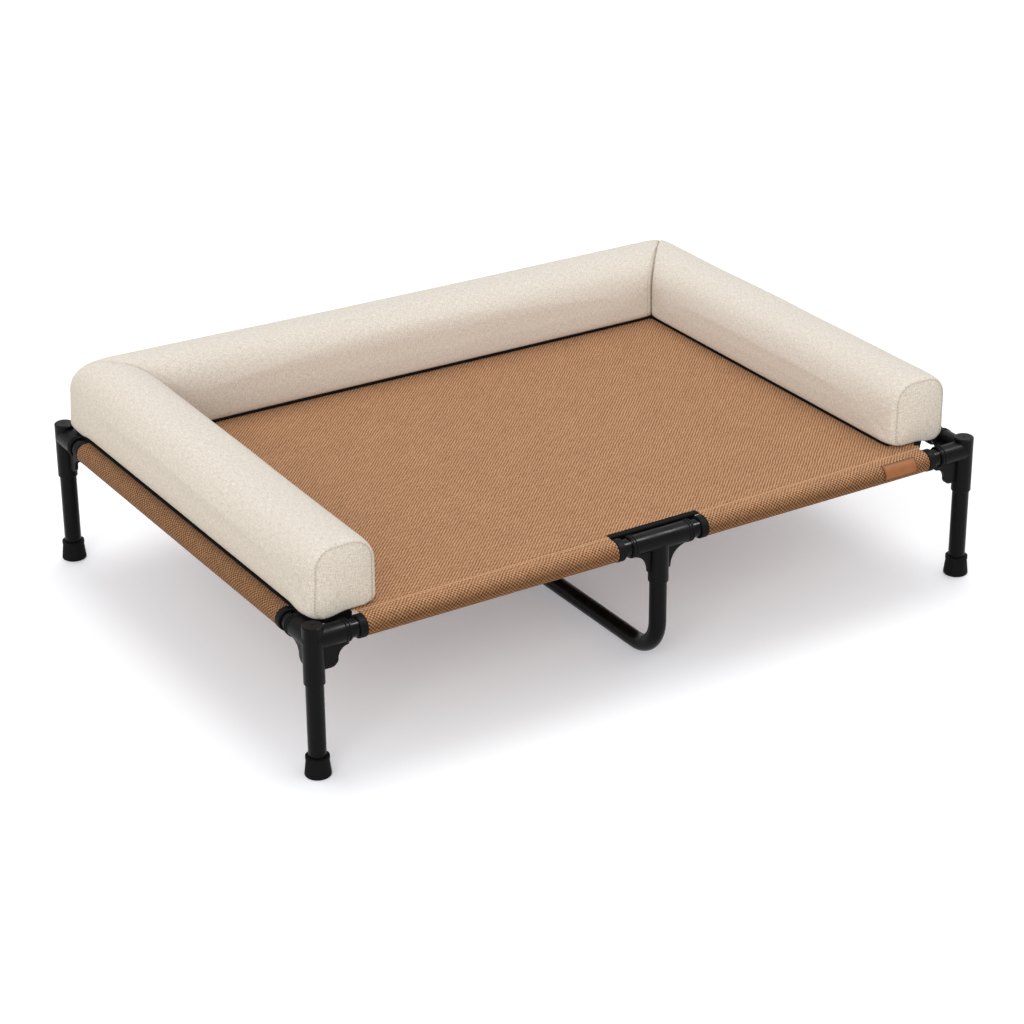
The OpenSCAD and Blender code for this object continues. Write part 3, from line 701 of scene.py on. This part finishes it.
def binding_grid(bed, length, width, drop, hang):
    """Tape along X, folded over a cut edge: two plies joined by a half circle, slightly wavy.

    The lower ply turns down in a quarter circle at hang from the edge, and ends at drop below the panel. The
    tape over the edge is real; the flap that hangs below it is painted shade, a black sheet that fills the
    dark gaps by the tees and under the bolster's front ends."""
    ease, wavy, bend_steps, steps, rows = 0.1 * MM, 0.2 * MM, 17, 6, 40
    middle = panel_t / 2
    half = middle + ease + bed.binding_t
    bend = np.linspace(math.pi / 2, 1.5 * math.pi, bend_steps)
    fold = stacked(middle + half * np.cos(bend), half * np.sin(bend))
    over = stacked(np.linspace(width, middle, steps), half)[:-1]
    turn_r = bed.binding_t
    quarter = np.linspace(math.pi / 2, 0, steps)
    down = stacked(hang - turn_r + turn_r * np.cos(quarter), turn_r * np.sin(quarter) - half - turn_r)
    shade_flap = stacked(hang, np.linspace(-half - turn_r, -drop, steps))[1:]
    line = np.concatenate([over, fold, down, shade_flap])
    x = np.linspace(-length / 2, length / 2, rows)[:, None]
    sway = wavy * ripple(x, length, low=2, high=6, seed=5)
    along = distance_along(line)
    return stacked(x, line[:, 0] + sway, line[:, 1]), stacked(x, along), along[-1]


def patch_grid(bed, inset=0.0, lift=0.0):
    """Patch wrapped round the front of its sleeve: x along the rail, an angle round it."""
    rows, cols = 70, 40
    radius = sleeve_r + bed.patch_t
    low, high = (math.asin((z - rail_z) / radius) for z in (patch_low[2], patch_high[2]))
    angle = np.linspace(low + inset / radius, high - inset / radius, cols)
    x = np.linspace(patch_low[0] + inset, patch_high[0] - inset, rows)[:, None]
    out = radius + lift
    points = stacked(x, -post_y - out * np.cos(angle), rail_z + out * np.sin(angle))
    return points, stacked(x, radius * angle)


Seam = namedtuple("Seam", "place slant draw drop radius base bulge")
RING_STEPS = np.array([0, 0.06, 0.16, 0.3, 0.46, 0.62, 0.78, 0.91])


def section(width, height, top_r, base_r, count):
    """Outline of a run: a flat base, small bottom corners and large top corners.

    It has count points at equal steps of length, anticlockwise from the middle of the base."""
    half = width / 2
    corner_steps = 24
    quarter = np.linspace(0, math.pi / 2, corner_steps)

    def corner(x, z, r, start):
        return stacked(x + r * np.cos(start + quarter), z + r * np.sin(start + quarter))

    line = np.concatenate([
        [[0, 0]],
        corner(half - base_r, base_r, base_r, -math.pi / 2),
        corner(half - top_r, height - top_r, top_r, 0),
        corner(top_r - half, height - top_r, top_r, math.pi / 2),
        corner(base_r - half, base_r, base_r, math.pi),
        [[0, 0]],
    ])
    along = distance_along(line)
    at = np.linspace(0, along[-1], count, endpoint=False)
    return stacked(np.interp(at, along, line[:, 0]), np.interp(at, along, line[:, 1]))


def run_grid(bolster, size, first, last, shares, count):
    """Cover of a run before it is filled: its section carried from one seam to the other.

    Near a seam it is smaller by the seam's draw times one less a quarter circle of the distance."""
    length = last.place - first.place
    rows = []
    for share in shares:
        seam, gap = (first, share) if share < 0.5 else (last, 1 - share)
        swell = math.sqrt(1 - (1 - min(1.0, gap * length / bolster.draw_l)) ** 2)
        pull = bolster.slack * swell + seam.draw * (1 - swell)
        lower = bolster.slack * swell + seam.drop * (1 - swell)
        top_r = seam.radius + (bolster.top_r - seam.radius) * swell
        base_r = seam.base + (bolster.base_r - seam.base) * swell
        rows.append(section(size[0] - 2 * pull, size[1] - lower, top_r, base_r, count))
    flat = np.stack(rows)
    start = first.place + first.slant * flat[..., 0]
    stop = last.place + last.slant * flat[..., 0]
    return stacked(flat[..., 0], start + shares[:, None] * (stop - start), flat[..., 1])


def end_rings(ring, seam, height, steps, way):
    """Panel over a run's end: the seam's ring drawn to its middle in steps.

    It is domed as one less the square of its share; the last step is the middle."""
    share = 1 - steps[:, None]
    x = share * ring[None, :, 0]
    z = height / 2 + share * (ring[None, :, 2] - height / 2)
    y = seam.place + seam.slant * x + way * seam.bulge * (1 - share**2)
    return stacked(x, y, z)


def fill_cover(bolster, tube, panels, size):
    """Fills a closed cover: Blender's cloth with pressure and no gravity, its seams and base pinned.

    No point moves further than the swell. Gives the tube and its end panels after filling."""
    rows, count = tube.shape[:2]
    grids = [np.arange(rows * count).reshape(rows, count)]
    points = [tube.reshape(-1, 3)]
    total = rows * count
    triangles = []
    for ring, panel in zip((grids[0][0], grids[0][-1]), panels):
        inner = panel[1:].reshape(-1, 3)
        grid = np.concatenate([ring[None], total + np.arange(len(inner)).reshape(-1, count)])
        middle = np.full(count, total + len(inner))
        triangles.append(np.stack([grid[-1], np.roll(grid[-1], -1), middle], -1))
        points += [inner, panel[-1].mean(0)[None]]
        total += len(inner) + 1
        grids.append(grid)
    quads = [np.stack([g[:-1], np.roll(g, -1, 1)[:-1], np.roll(g, -1, 1)[1:], g[1:]], -1) for g in grids]
    start = np.concatenate(points)
    mesh = bpy.data.meshes.new("cover_before_filling")
    faces = np.concatenate([q.reshape(-1, 4) for q in quads]).tolist()
    mesh.from_pydata(start.tolist(), [], faces + np.concatenate(triangles).tolist())
    mend(mesh)
    cover = new_object("cover_before_filling", mesh)
    base_h, held_h = 0.3 * MM, 30 * MM
    flat = (start[:, 2] < base_h) & (np.abs(start[:, 0]) < size[0] / 2 - bolster.base_r)
    sewn = [np.flatnonzero(flat), grids[0][0], grids[0][-1]]
    sewn += [g.ravel() for g, panel in zip(grids[1:], panels) if np.ptp(panel[0, :, 1]) > MM]
    group = cover.vertex_groups.new(name="sewn")
    group.add(np.unique(np.concatenate(sewn)).tolist(), 1.0, "REPLACE")
    cloth = cover.modifiers.new("Filling", "CLOTH")
    cloth.settings.vertex_group_mass = group.name
    cloth.settings.use_pressure = True
    cloth.settings.uniform_pressure_force = bolster.pressure
    cloth.settings.effector_weights.gravity = 0
    cloth.settings.quality = 6
    cloth.point_cache.frame_start = 1
    cloth.point_cache.frame_end = bolster.frames
    scene = bpy.context.scene
    for step in range(1, bolster.frames + 1):
        scene.frame_set(step)
    filled = cover.evaluated_get(bpy.context.evaluated_depsgraph_get()).to_mesh()
    moved = np.zeros(len(start) * 3, np.float32)
    filled.vertices.foreach_get("co", moved)
    bpy.data.objects.remove(cover)
    scene.frame_set(1)
    shift = moved.reshape(-1, 3).astype(float) - start
    far = np.linalg.norm(shift, axis=1)[:, None]
    held = np.clip(start[:, 2:] / held_h, 0, 1)
    made = start + shift * held * np.minimum(1, bolster.swell / np.maximum(far, 1e-9))
    return made[grids[0]], [made[g] for g in grids[1:]]


def finer(grid, steps):
    """A closed ring grid with steps times as many columns, on smooth curves through them."""
    count = grid.shape[1]
    wide = np.concatenate([grid[:, -3:], grid, grid[:, :3]], 1).swapaxes(0, 1)
    new = np.arange(count * steps) / steps
    return resample(wide, np.arange(-3.0, count + 3), new).swapaxes(0, 1)


def surface_normals(grid):
    """Outward unit normals of a closed ring grid about the middle of each row."""
    across = np.roll(grid, -1, 1) - np.roll(grid, 1, 1)
    normal = np.cross(np.gradient(grid, axis=0), across)
    normal /= np.maximum(np.linalg.norm(normal, axis=2, keepdims=True), 1e-12)
    outward = ((grid - grid.mean(1, keepdims=True)) * normal).sum(2).mean()
    return normal if outward > 0 else -normal


GATHERS = (30, 58)


def gathered(gap, fade):
    """Height of gathers by their gap from a seam: they rise within a few millimetres and fade away."""
    rise = 2.5 * MM
    return gap / (gap + rise) * np.exp(-gap / fade)


def sewn_detail(bolster, tube, gaps, sewn_ends, seed):
    """Grooves, gathers and slight lumps: how far each point of a filled run moves outwards.

    A groove is a bell curve of the distance from its seam; gathers are uneven waves round the
    run that rise within a few millimetres of the seam and die away over the next few tens."""
    groove_w, fade, clear_h, lump_h = 1.5 * MM, 15 * MM, 8 * MM, 0.5 * MM
    count = tube.shape[1]
    turn = np.arange(count)
    clear = np.clip(tube[..., 2] / clear_h, 0, 1)
    amount = np.zeros(tube.shape[:2])
    for k, (gap, is_end) in enumerate(zip(gaps, sewn_ends)):
        uneven = 0.6 + 0.4 * ripple(turn, count, 2, 5, seed + 7 + k)
        wave = ripple(turn, count, *GATHERS, seed + k) * uneven
        high = bolster.pucker if is_end else 0.6 * bolster.pucker
        amount += high * gathered(gap, fade)[:, None] * wave[None, :] * clear
        amount -= bolster.groove * bell(gap, groove_w)[:, None]
    round_it = ripple(turn, count, 1, 3, seed + 21)
    lumps = ripple(gaps[0], gaps[0][-1], 2, 6, seed + 20)[:, None] * round_it[None, :]
    return amount + lump_h * lumps * clear


def make_run(name, bolster, size, first, last, place, cloth, nodes, seed):
    """One run of the bolster: a filled, closed cover with its sewn end panels.

    Gives the object and each seam's ring, with the normals there, for its stitches."""
    count, finer_steps, hold_w, panel_fade = 64, 4, 2 * MM, 9 * MM
    length = last.place - first.place
    shares = graded(length, near=4 * MM, far=8 * MM, reach=60 * MM) / length
    tube = run_grid(bolster, size, first, last, shares, count)
    panels = [
        end_rings(tube[row], seam, size[1], RING_STEPS, way)
        for row, seam, way in ((0, first, -1), (-1, last, 1))
    ]
    tube, panels = fill_cover(bolster, tube, panels, size)
    fine = graded(length, near=0.9 * MM, far=5.5 * MM, reach=45 * MM) / length
    tube = finer(resample(tube, shares, fine), finer_steps)
    normals = surface_normals(tube)
    gaps = (fine * length, (1 - fine) * length)
    ends = (first.bulge > 0, last.bulge > 0)
    shift = normals * sewn_detail(bolster, tube, gaps, ends, seed)[..., None]
    made = tube + shift
    steps = np.diff(np.concatenate([made, made[:, :1]], 1), axis=1)
    round_it = np.linalg.norm(steps, axis=2).sum(1).max()
    uv = stacked((fine * length)[:, None], np.linspace(0, round_it, made.shape[1] + 1))
    parts = [grid_part(place(made), uv, closed=True)]
    # Rings of an end panel as shares of the way to its middle, close together beside the seam
    panel_steps = np.concatenate([np.linspace(0, 0.12, 9), np.linspace(0.16, 1, 16)])
    for row, panel, is_end in zip((0, -1), panels, ends):
        middle = panel[-1].mean(0)
        rings = np.concatenate([panel, np.repeat(middle[None, None], count, 1)])
        rings = finer(resample(rings, np.append(RING_STEPS, 1.0), panel_steps), finer_steps)
        rings[-1] = middle
        gap = panel_steps * size[0] / 2
        rings += shift[row][None] * bell(gap, hold_w)[:, None, None]
        if is_end:
            wave = ripple(np.arange(rings.shape[1]), rings.shape[1], *GATHERS, seed + 11)
            reach = gathered(gap, panel_fade) * (1 - panel_steps)
            rings[..., 1] -= bolster.pucker * reach[:, None] * wave[None, :]
        rings[0] = made[row]
        flat = rings[..., [0, 2]]
        parts.append(grid_part(place(rings), np.concatenate([flat, flat[:, :1]], 1), closed=True))
    run = piece(name, parts, cloth, "bolster", nodes, closed=True)
    seams = []
    for row in (0, -1):
        ring = np.concatenate([made[row], made[row, :1]])
        lift = np.concatenate([normals[row], normals[row, :1]])
        seams.append((place(ring), place(ring + lift) - place(ring)))
    return run, seams


def smooth_step(value, low, high):
    """From 0 at low to 1 at high, level at both."""
    t = np.clip((value - low) / (high - low), 0, 1)
    return t * t * (3 - 2 * t)


def settled(bolster, points):
    """Points of the bolster as it has settled on the bed.

    Its height grows in a straight line along the back to the left end, which fades along the left run.
    The right run is pushed inwards, the left run bulges over its base and inwards in its middle, and the
    back run bulges near the right mitre. The front ends slide along their runs and their low edges droop,
    and the base sinks over the bed's open corners. Each is a length times smooth steps or bell curves of
    the place."""
    x, y, z = points[..., 0], points[..., 1], points[..., 2]
    level_at, low_h, bulge_h, bulge_w, open_w = 0.8, 30 * MM, 12 * MM, 25 * MM, 20 * MM
    side_zone, lean_zone, front_zone, belly_zone = (0.28, 0.4), (-0.15, 0.3), (0.2, 0.34), (-0.4, 0.45)
    fuller_y, fuller_w = -0.05, 0.2
    above = z - cover_low[2]
    tall, wide = cover_high[2] - cover_low[2], cover_high[0] - cover_low[0]
    right_run, left_run = smooth_step(x, *side_zone), smooth_step(-x, *side_zone)
    along = (x + cover_high[0]) / (2 * cover_high[0])
    lean = bolster.lean * (level_at - along) * smooth_step(y, *lean_zone) * np.clip(above / tall, 0, 1)
    outer = smooth_step(-x, cover_low[0], cover_high[0])
    spread = bolster.spread * outer * bell(above - bulge_h, bulge_w)
    past_strip = smooth_step(-y, -strip_low[1], -bulge_low[1])
    past_cut = (np.abs(x) + np.abs(y) - cut_x - seam_y) / math.sqrt(2)
    sink = bolster.sink * smooth_step(past_cut, 0, open_w)
    drop = (bolster.droop * past_strip + sink) * np.clip(1 - above / low_h, 0, 1)

    def inner_side(across):
        return smooth_step(across, 0, wide) * (1 - smooth_step(across, wide, 3.5 * wide))

    belly = bolster.belly * inner_side(back_cover_high[1] - y) * smooth_step(x, *belly_zone)
    fuller = bolster.fuller * inner_side(x + cover_high[0]) * bell(y - fuller_y, fuller_w)
    slide = bolster.backward * right_run - bolster.forward * left_run
    ahead = slide * smooth_step(-y, *front_zone) - belly
    inwards = bolster.push * right_run + spread - fuller
    return stacked(x - inwards, y + ahead, z + lean - drop - bolster.rest)


def mark_crease_shade(run, planes):
    """Writes how near each point is to a seam's plane, for the painted shade in the cloth's creases."""
    crease_w = 0.7 * MM
    mesh = run.data
    flat = np.zeros(len(mesh.vertices) * 3, np.float32)
    mesh.vertices.foreach_get("co", flat)
    points = flat.reshape(-1, 3)
    near = np.zeros(len(points))
    for point, normal in planes:
        off = (points - np.array(point)) @ (np.array(normal) / np.linalg.norm(normal))
        near = np.maximum(near, bell(off, crease_w))
    mark(run, "crease_shade", near)


def strip_grid(corners, rows, cols):
    """Flat strip between four corners: straight lines both ways."""
    s = np.linspace(0, 1, rows)[:, None, None]
    t = np.linspace(0, 1, cols)[None, :, None]
    a, b, c, d = corners
    return (1 - s) * ((1 - t) * a + t * b) + s * ((1 - t) * d + t * c)


# Operators


class COT_OT_fittings(bpy.types.Operator):
    """Finishes the moulded corner and tee fittings, the stop collars and the feet"""

    bl_idname = "cot.fittings"
    bl_label = "Fittings, collars and feet"

    def execute(self, context):
        finish = context.scene.dog_cot.finish
        nylon = moulded_black("Moulded nylon", finish.nylon, rough=0.36, level=0.1, grain_mm=0.9)
        dress(nylon, [f"corner_fitting_{c}" for c in CORNERS] + [f"tee_fitting_{e}" for e in ENDS])
        collar = moulded_black("Moulded polypropylene", finish.collar, rough=0.55, level=0.08, grain_mm=0.7)
        dress(collar, [f"collar_{k}_{c}" for k in ("outer", "inner", "side") for c in CORNERS])
        rubber = moulded_black("Foot rubber", finish.rubber, rough=0.66, level=0.07, grain_mm=0.6)
        dress(rubber, [f"foot_{c}" for c in CORNERS])
        return {"FINISHED"}


class COT_OT_tubes(bpy.types.Operator):
    """Finishes the rails, the legs and the centre leg in powder coat"""

    bl_idname = "cot.tubes"
    bl_label = "Tubes"

    def execute(self, context):
        coat = powder_coat(context.scene.dog_cot.finish.paint)
        names = [f"{k}_{c}" for k in ("rail", "leg_tube") for c in CORNERS]
        dress(coat, names + [f"side_rail_{s}" for s in SIDES] + ["centre_leg"])
        return {"FINISHED"}


class COT_OT_mesh_bed(bpy.types.Operator):
    """Makes the stretched mesh panel, its sleeves on the rails and their sewn folds"""

    bl_idname = "cot.mesh_bed"
    bl_label = "Mesh bed"

    def execute(self, context):
        bed = context.scene.dog_cot.bed
        cloth = mesh_cloth(bed)
        sheet = [grid_part(*panel_grid(bed))]
        panel = piece("mesh_cloth", sheet, cloth, "frame", ["mesh_panel"])
        thicken(panel, panel_t)
        runs = [(f"sleeve_{c}", f"rail_{c}", 0 if "front" in c else 180, post_y) for c in CORNERS]
        runs += [(f"side_sleeve_{s}", f"side_rail_{s}", 270 if s == "left" else 90, post_x) for s in SIDES]
        side_shade, path_steps = 0.75, 160
        stitches = []
        for seed, (node, rail, turn, post) in enumerate(runs):
            low, high = span(node)
            axis = 1 if turn in (90, 270) else 0
            ends = (low[axis], high[axis]) if turn in (0, 90) else (-high[axis], -low[axis])
            points, uv, fold = sleeve_grid(bed, ends[0], ends[1], turn, post, seed)
            part = grid_part(points, uv, flip=True)
            sleeve = piece(f"{node}_cloth", [part], cloth, "frame", [node])
            # The fold's bell curve also places the painted highlight along the fold's crest
            mark(sleeve, "fold", fold)
            # Painted shade: down from the rail's top the front and back sleeves are darkened, and less so
            # under it; the side sleeves, under the bolster, are darkened all over
            height = (points[..., 2] - rail_z) / sleeve_r
            drawn = np.clip(1 - height, 0, 1) ** 0.6 * (1 + 0.45 * np.minimum(height, 0))
            mark(sleeve, "sleeve_shade", np.full(drawn.shape, side_shade) if node.startswith("side") else drawn)
            thicken(sleeve, bed.sleeve_t, edge=0.3 * MM)
            x = np.linspace(ends[0], ends[1], path_steps)
            inboard = bed.fold_in - post + fold_sway(bed, x, seed)
            path = turned(stacked(x, inboard, rail_z + sleeve_r + bed.fold_h), turn)
            up = np.tile([0.0, 0.0, 1.0], (len(path), 1))
            stitches.append(stitch_parts(path, up, HEM_STITCH))
        thread = sewing_thread("Hem thread polyester", bed.thread)
        piece("hem_stitches", stitches, thread, "frame")
        return {"FINISHED"}


class COT_OT_bindings(bpy.types.Operator):
    """Makes the black tape that binds the panel's cut edges at the tees and the corners"""

    bl_idname = "cot.bindings"
    bl_label = "Bindings"

    def execute(self, context):
        bed = context.scene.dog_cot.bed
        tape = woven_tape("Binding tape polyester", bed.tape, rib_mm=0.9)
        width = tee_binding_high[1] + seam_y
        middle_z = (panel_low[2] + panel_high[2]) / 2
        drop = middle_z - tee_binding_low[2]
        tee_l = tee_binding_high[0] - tee_binding_low[0]
        slant_low, slant_high = span("corner_binding_back_right")
        tape_w = tee_binding_high[1] - tee_binding_low[1]
        cut_l = math.sqrt(2) * (slant_high[0] - slant_low[0]) - tape_w
        tee_hang, corner_hang = width - bed.binding_t, 0.4 * width
        places = [
            ("tee_binding_front", tee_l, 0, (0, -seam_y, middle_z), drop, tee_hang),
            ("tee_binding_back", tee_l, 180, (0, seam_y, middle_z), drop, tee_hang),
        ]
        turns = {"front_left": -45, "front_right": 45, "back_left": 225, "back_right": 135}
        for c in CORNERS:
            side = -1 if "left" in c else 1
            away = -1 if "front" in c else 1
            middle = (side * (seam_x + cut_x) / 2, away * (seam_y + cut_y) / 2, middle_z)
            # Painted shade: the corner flaps drop further to fill the shade under the bolster's front ends
            low = drop + bed.corner_shade_drop
            places.append((f"corner_binding_{c}", cut_l, turns[c], middle, low, corner_hang))
        for node, length, turn, middle, low, hang in places:
            points, uv, wide = binding_grid(bed, length, width, low, hang)
            points = turned(points, turn) + middle
            made = piece(f"{node}_tape", [grid_part(points, uv)], tape, "frame", [node])
            thicken(made, bed.binding_t, edge=0.15 * MM)
        return {"FINISHED"}


class COT_OT_patch(bpy.types.Operator):
    """Makes the blank leather patch on the front sleeve, sewn round its edge"""

    bl_idname = "cot.patch"
    bl_label = "Leather patch"

    def execute(self, context):
        bed = context.scene.dog_cot.bed
        points, uv = patch_grid(bed)
        leather = patch_leather(bed.leather)
        part = grid_part(points, uv, flip=True)
        made = piece("patch_leather", [part], leather, "frame", ["leather_patch"])
        from_ends = np.minimum(uv[..., 0] - uv[0, 0, 0], uv[-1, 0, 0] - uv[..., 0])
        from_sides = np.minimum(uv[..., 1] - uv[0, 0, 1], uv[0, -1, 1] - uv[..., 1])
        rim_w = 1.5 * MM
        mark(made, "rim", bell(np.minimum(from_ends, from_sides), rim_w))
        thicken(made, bed.patch_t, edge=0.35 * MM)
        inner = patch_grid(bed, inset=2.2 * MM, lift=0.1 * MM)[0]
        path = np.concatenate([inner[:, 0], inner[-1, 1:], inner[-2::-1, -1], inner[0, -2::-1]])
        lift = path - stacked(path[:, 0], -post_y, rail_z)
        thread = sewing_thread("Patch thread waxed", bed.patch_thread)
        sewn = [stitch_parts(path, lift, PATCH_STITCH)]
        piece("patch_stitches", sewn, thread, "frame")
        return {"FINISHED"}


class COT_OT_bolster(bpy.types.Operator):
    """Makes the three filled runs of the bolster and the stitches in their seams"""

    bl_idname = "cot.bolster"
    bl_label = "Bolster"

    def execute(self, context):
        bolster = context.scene.dog_cot.bolster
        cloth = bolster_cloth(bolster)
        size = (cover_high[0] - cover_low[0], cover_high[2] - cover_low[2])
        middle_x = (cover_low[0] + cover_high[0]) / 2
        middle_y = (back_cover_low[1] + back_cover_high[1]) / 2
        bulge = cover_low[1] - bulge_low[1]
        front = Seam(
            cover_low[1], 0, bolster.end_draw, bolster.end_drop, bolster.end_r, bolster.end_base_r, bulge
        )
        sewn = (bolster.mitre_draw, bolster.mitre_draw, bolster.top_r, bolster.base_r, 0)
        mitre = Seam(middle_y, 1, *sewn)
        near = Seam(-middle_x, -1, *sewn)
        far = Seam(middle_x, 1, *sewn)
        stitches, mitres = [], []
        for seed, side in enumerate(SIDES):
            way = -1 if side == "left" else 1

            def on_side(points, way=way):
                return settled(bolster, points * [way, 1, 1] + [way * middle_x, 0, cover_low[2]])

            nodes = [f"bolster_{k}_{side}" for k in ("cover", "filling", "end")]
            name = f"bolster_{side}"
            run, seams = make_run(name, bolster, size, front, mitre, on_side, cloth, nodes, 40 * seed)
            corner = settled(bolster, np.array([way * middle_x, middle_y, cover_high[2]]))
            seam = settled(bolster, np.array([way * middle_x, cover_low[1], cover_high[2]]))
            mark_crease_shade(run, [(seam, (0, 1, 0)), (corner, (way, -1, 0))])
            mitres.append((corner, (way, -1, 0)))
            stitches += seams

        def at_back(points):
            return settled(bolster, turned(points, 90) + [0, middle_y, cover_low[2]])

        nodes = ["bolster_cover_back", "bolster_filling_back"]
        run, seams = make_run("bolster_back", bolster, size, near, far, at_back, cloth, nodes, 90)
        mark_crease_shade(run, mitres)
        thread = sewing_thread("Bolster thread cotton", bolster.thread)
        clear = 0.2 * MM
        parts = [stitch_parts(ring + lift * clear, lift, SEAM_STITCH) for ring, lift in stitches]
        piece("bolster_stitches", parts, thread, "bolster")
        return {"FINISHED"}


class COT_OT_base_strips(bpy.types.Operator):
    """Makes the black non-slip strips under the bolster; pushed out past the cover, they also stand in as
    painted shade under its edges
    """

    bl_idname = "cot.base_strips"
    bl_label = "Base strips"

    def execute(self, context):
        bolster = context.scene.dog_cot.bolster
        cloth = woven_tape("Non-slip base cloth", bolster.base, rib_mm=1.6)
        back_low, back_high = span("bolster_base_back")
        inner_x = strip_low[0]
        rows, cols, corner_w = 40, 24, 28 * MM
        for side in SIDES + ("back",):
            node = f"bolster_base_{side}"
            low, high = span(node)
            # Painted shade: the strips come out past the cover, and their black draws the dark line under its
            # edges
            low[0] -= 0 if side == "right" else bolster.strip_shade_out
            high[0] += 0 if side == "left" else bolster.strip_shade_out
            high[1] += bolster.strip_shade_out
            low[1] += 0 if side == "back" else bolster.base_back
            corners = [(low[0], low[1]), (high[0], low[1]), (high[0], high[1]), (low[0], high[1])]
            if side == "back":
                corners[:2] = [(-inner_x, low[1]), (inner_x, low[1])]
            elif side == "left":
                corners[2] = (high[0], back_low[1])
            else:
                corners[3] = (low[0], back_low[1])
            a, b, c, d = np.array(corners)
            points = strip_grid([np.append(corner, high[2]) for corner in (a, b, c, d)], rows, cols)
            if side != "back":
                gap = np.clip((points[..., 1] - cover_low[1]) / bolster.draw_l, 0, 1)
                middle = (low[0] + high[0]) / 2
                share = bolster.end_draw / (high[0] - middle) * (1 - np.sqrt(1 - (1 - gap) ** 2))
                points[..., 0] -= share * (points[..., 0] - middle)
            off = np.hypot(np.abs(points[..., 0]) - back_high[0], points[..., 1] - back_high[1])
            pull = 2 * bolster.mitre_draw * bell(off, corner_w)
            points[..., 0] -= np.sign(points[..., 0]) * pull
            points[..., 1] -= pull
            points = settled(bolster, points)
            part = grid_part(points, points[..., :2])
            made = piece(f"{node}_strip", [part], cloth, "bolster", [node])
            thicken(made, high[2] - low[2], edge=0.5 * MM)
        return {"FINISHED"}


class COT_OT_stage(bpy.types.Operator):
    """Makes the pale floor, the soft light and the camera at the photograph's angle"""

    bl_idname = "cot.stage"
    bl_label = "Stage"

    def execute(self, context):
        scene = context.scene
        stage = scene.dog_cot.stage
        scene.view_settings.view_transform = "Standard"
        reach = 30.0
        corners = [(-reach, -reach, 0), (reach, -reach, 0), (reach, reach, 0), (-reach, reach, 0)]
        mesh = bpy.data.meshes.new("studio_floor")
        mesh.from_pydata(corners, [], [(0, 1, 2, 3)])
        mesh.materials.append(studio_paper(stage))
        new_object("studio_floor", mesh)

        world = bpy.data.worlds.new("Studio")
        scene.world = world
        world.use_nodes = True
        tree = world.node_tree
        tree.nodes.clear()
        white = (1, 1, 1, 1)
        sky = add(tree, "Background", {"Color": white, "Strength": stage.sky})
        backdrop = add(tree, "Background", {"Color": white, "Strength": 1.0})
        shown = add(tree, "MixShader", {0: seen_rays(tree), 1: sky, 2: backdrop})
        add(tree, "OutputWorld", {0: shown}, output=None)

        # Each lamp as strength, degrees across and the way to it; the glint is only a shine
        lamps = {
            "Key": (stage.key, 34, (0.2, 0.26, 1.0)),
            "Fill": (stage.fill, 40, (-0.62, -0.68, 0.43)),
            "Glint": (stage.glint, 8, (0.48, -0.25, 0.84)),
        }
        for name, (strength, across, way) in lamps.items():
            lamp = bpy.data.lights.new(name, "SUN")
            lamp.energy = strength
            lamp.angle = math.radians(across)
            lamp.use_shadow = name != "Glint"
            sun = new_object(name, lamp)
            sun.visible_diffuse = name != "Glint"
            sun.rotation_euler = Vector(way).to_track_quat("Z", "Y").to_euler()

        # The photograph's camera, found from the posts, feet, rails and bolster edges
        turn, rise, roll = math.radians(-32.009), math.radians(25.595), math.radians(-0.447)
        flat = math.cos(rise)
        back = np.array([math.sin(turn) * flat, -math.cos(turn) * flat, math.sin(rise)])
        right = np.array([math.cos(turn), math.sin(turn), 0.0])
        up = np.cross(back, right)
        x = math.cos(roll) * right + math.sin(roll) * up
        y = math.cos(roll) * up - math.sin(roll) * right
        place = np.array([-2007.78, -3214.31, 1899.49]) * MM
        lens = bpy.data.cameras.new("Camera")
        lens.sensor_width = 36
        lens.lens = 103.26
        lens.clip_end = 100
        camera = new_object("Camera", lens)
        camera.matrix_world = Matrix([*np.stack([x, y, back, place], 1).tolist(), (0, 0, 0, 1)])
        scene.camera = camera
        return {"FINISHED"}


class COT_PT_sidebar(bpy.types.Panel):
    """Lists the cot's operators and settings"""

    bl_idname = "COT_PT_sidebar"
    bl_label = "Dog cot"
    bl_space_type = "VIEW_3D"
    bl_region_type = "UI"
    bl_category = "Dog cot"

    def draw(self, context):
        for operator in OPERATORS:
            self.layout.operator(operator.bl_idname)
        settings = context.scene.dog_cot
        for group in (settings.bed, settings.bolster, settings.finish, settings.stage):
            box = self.layout.box()
            for name in group.__annotations__:
                box.prop(group, name)


OPERATORS = (
    COT_OT_stage, COT_OT_fittings, COT_OT_tubes, COT_OT_mesh_bed, COT_OT_bindings, COT_OT_patch,
    COT_OT_bolster, COT_OT_base_strips,
)
SETTINGS = (MeshBedSettings, BolsterSettings, FinishSettings, StageSettings, CotSettings)
CLASSES = SETTINGS + OPERATORS + (COT_PT_sidebar,)


def register():
    for cls in CLASSES:
        bpy.utils.register_class(cls)
    bpy.types.Scene.dog_cot = PointerProperty(type=CotSettings)


def unregister():
    del bpy.types.Scene.dog_cot
    for cls in reversed(CLASSES):
        bpy.utils.unregister_class(cls)


def main():
    register()
    for operator in OPERATORS:
        group, name = operator.bl_idname.split(".")
        getattr(getattr(bpy.ops, group), name)()
    bpy.context.view_layer.update()


if __name__ == "__main__":
    main()
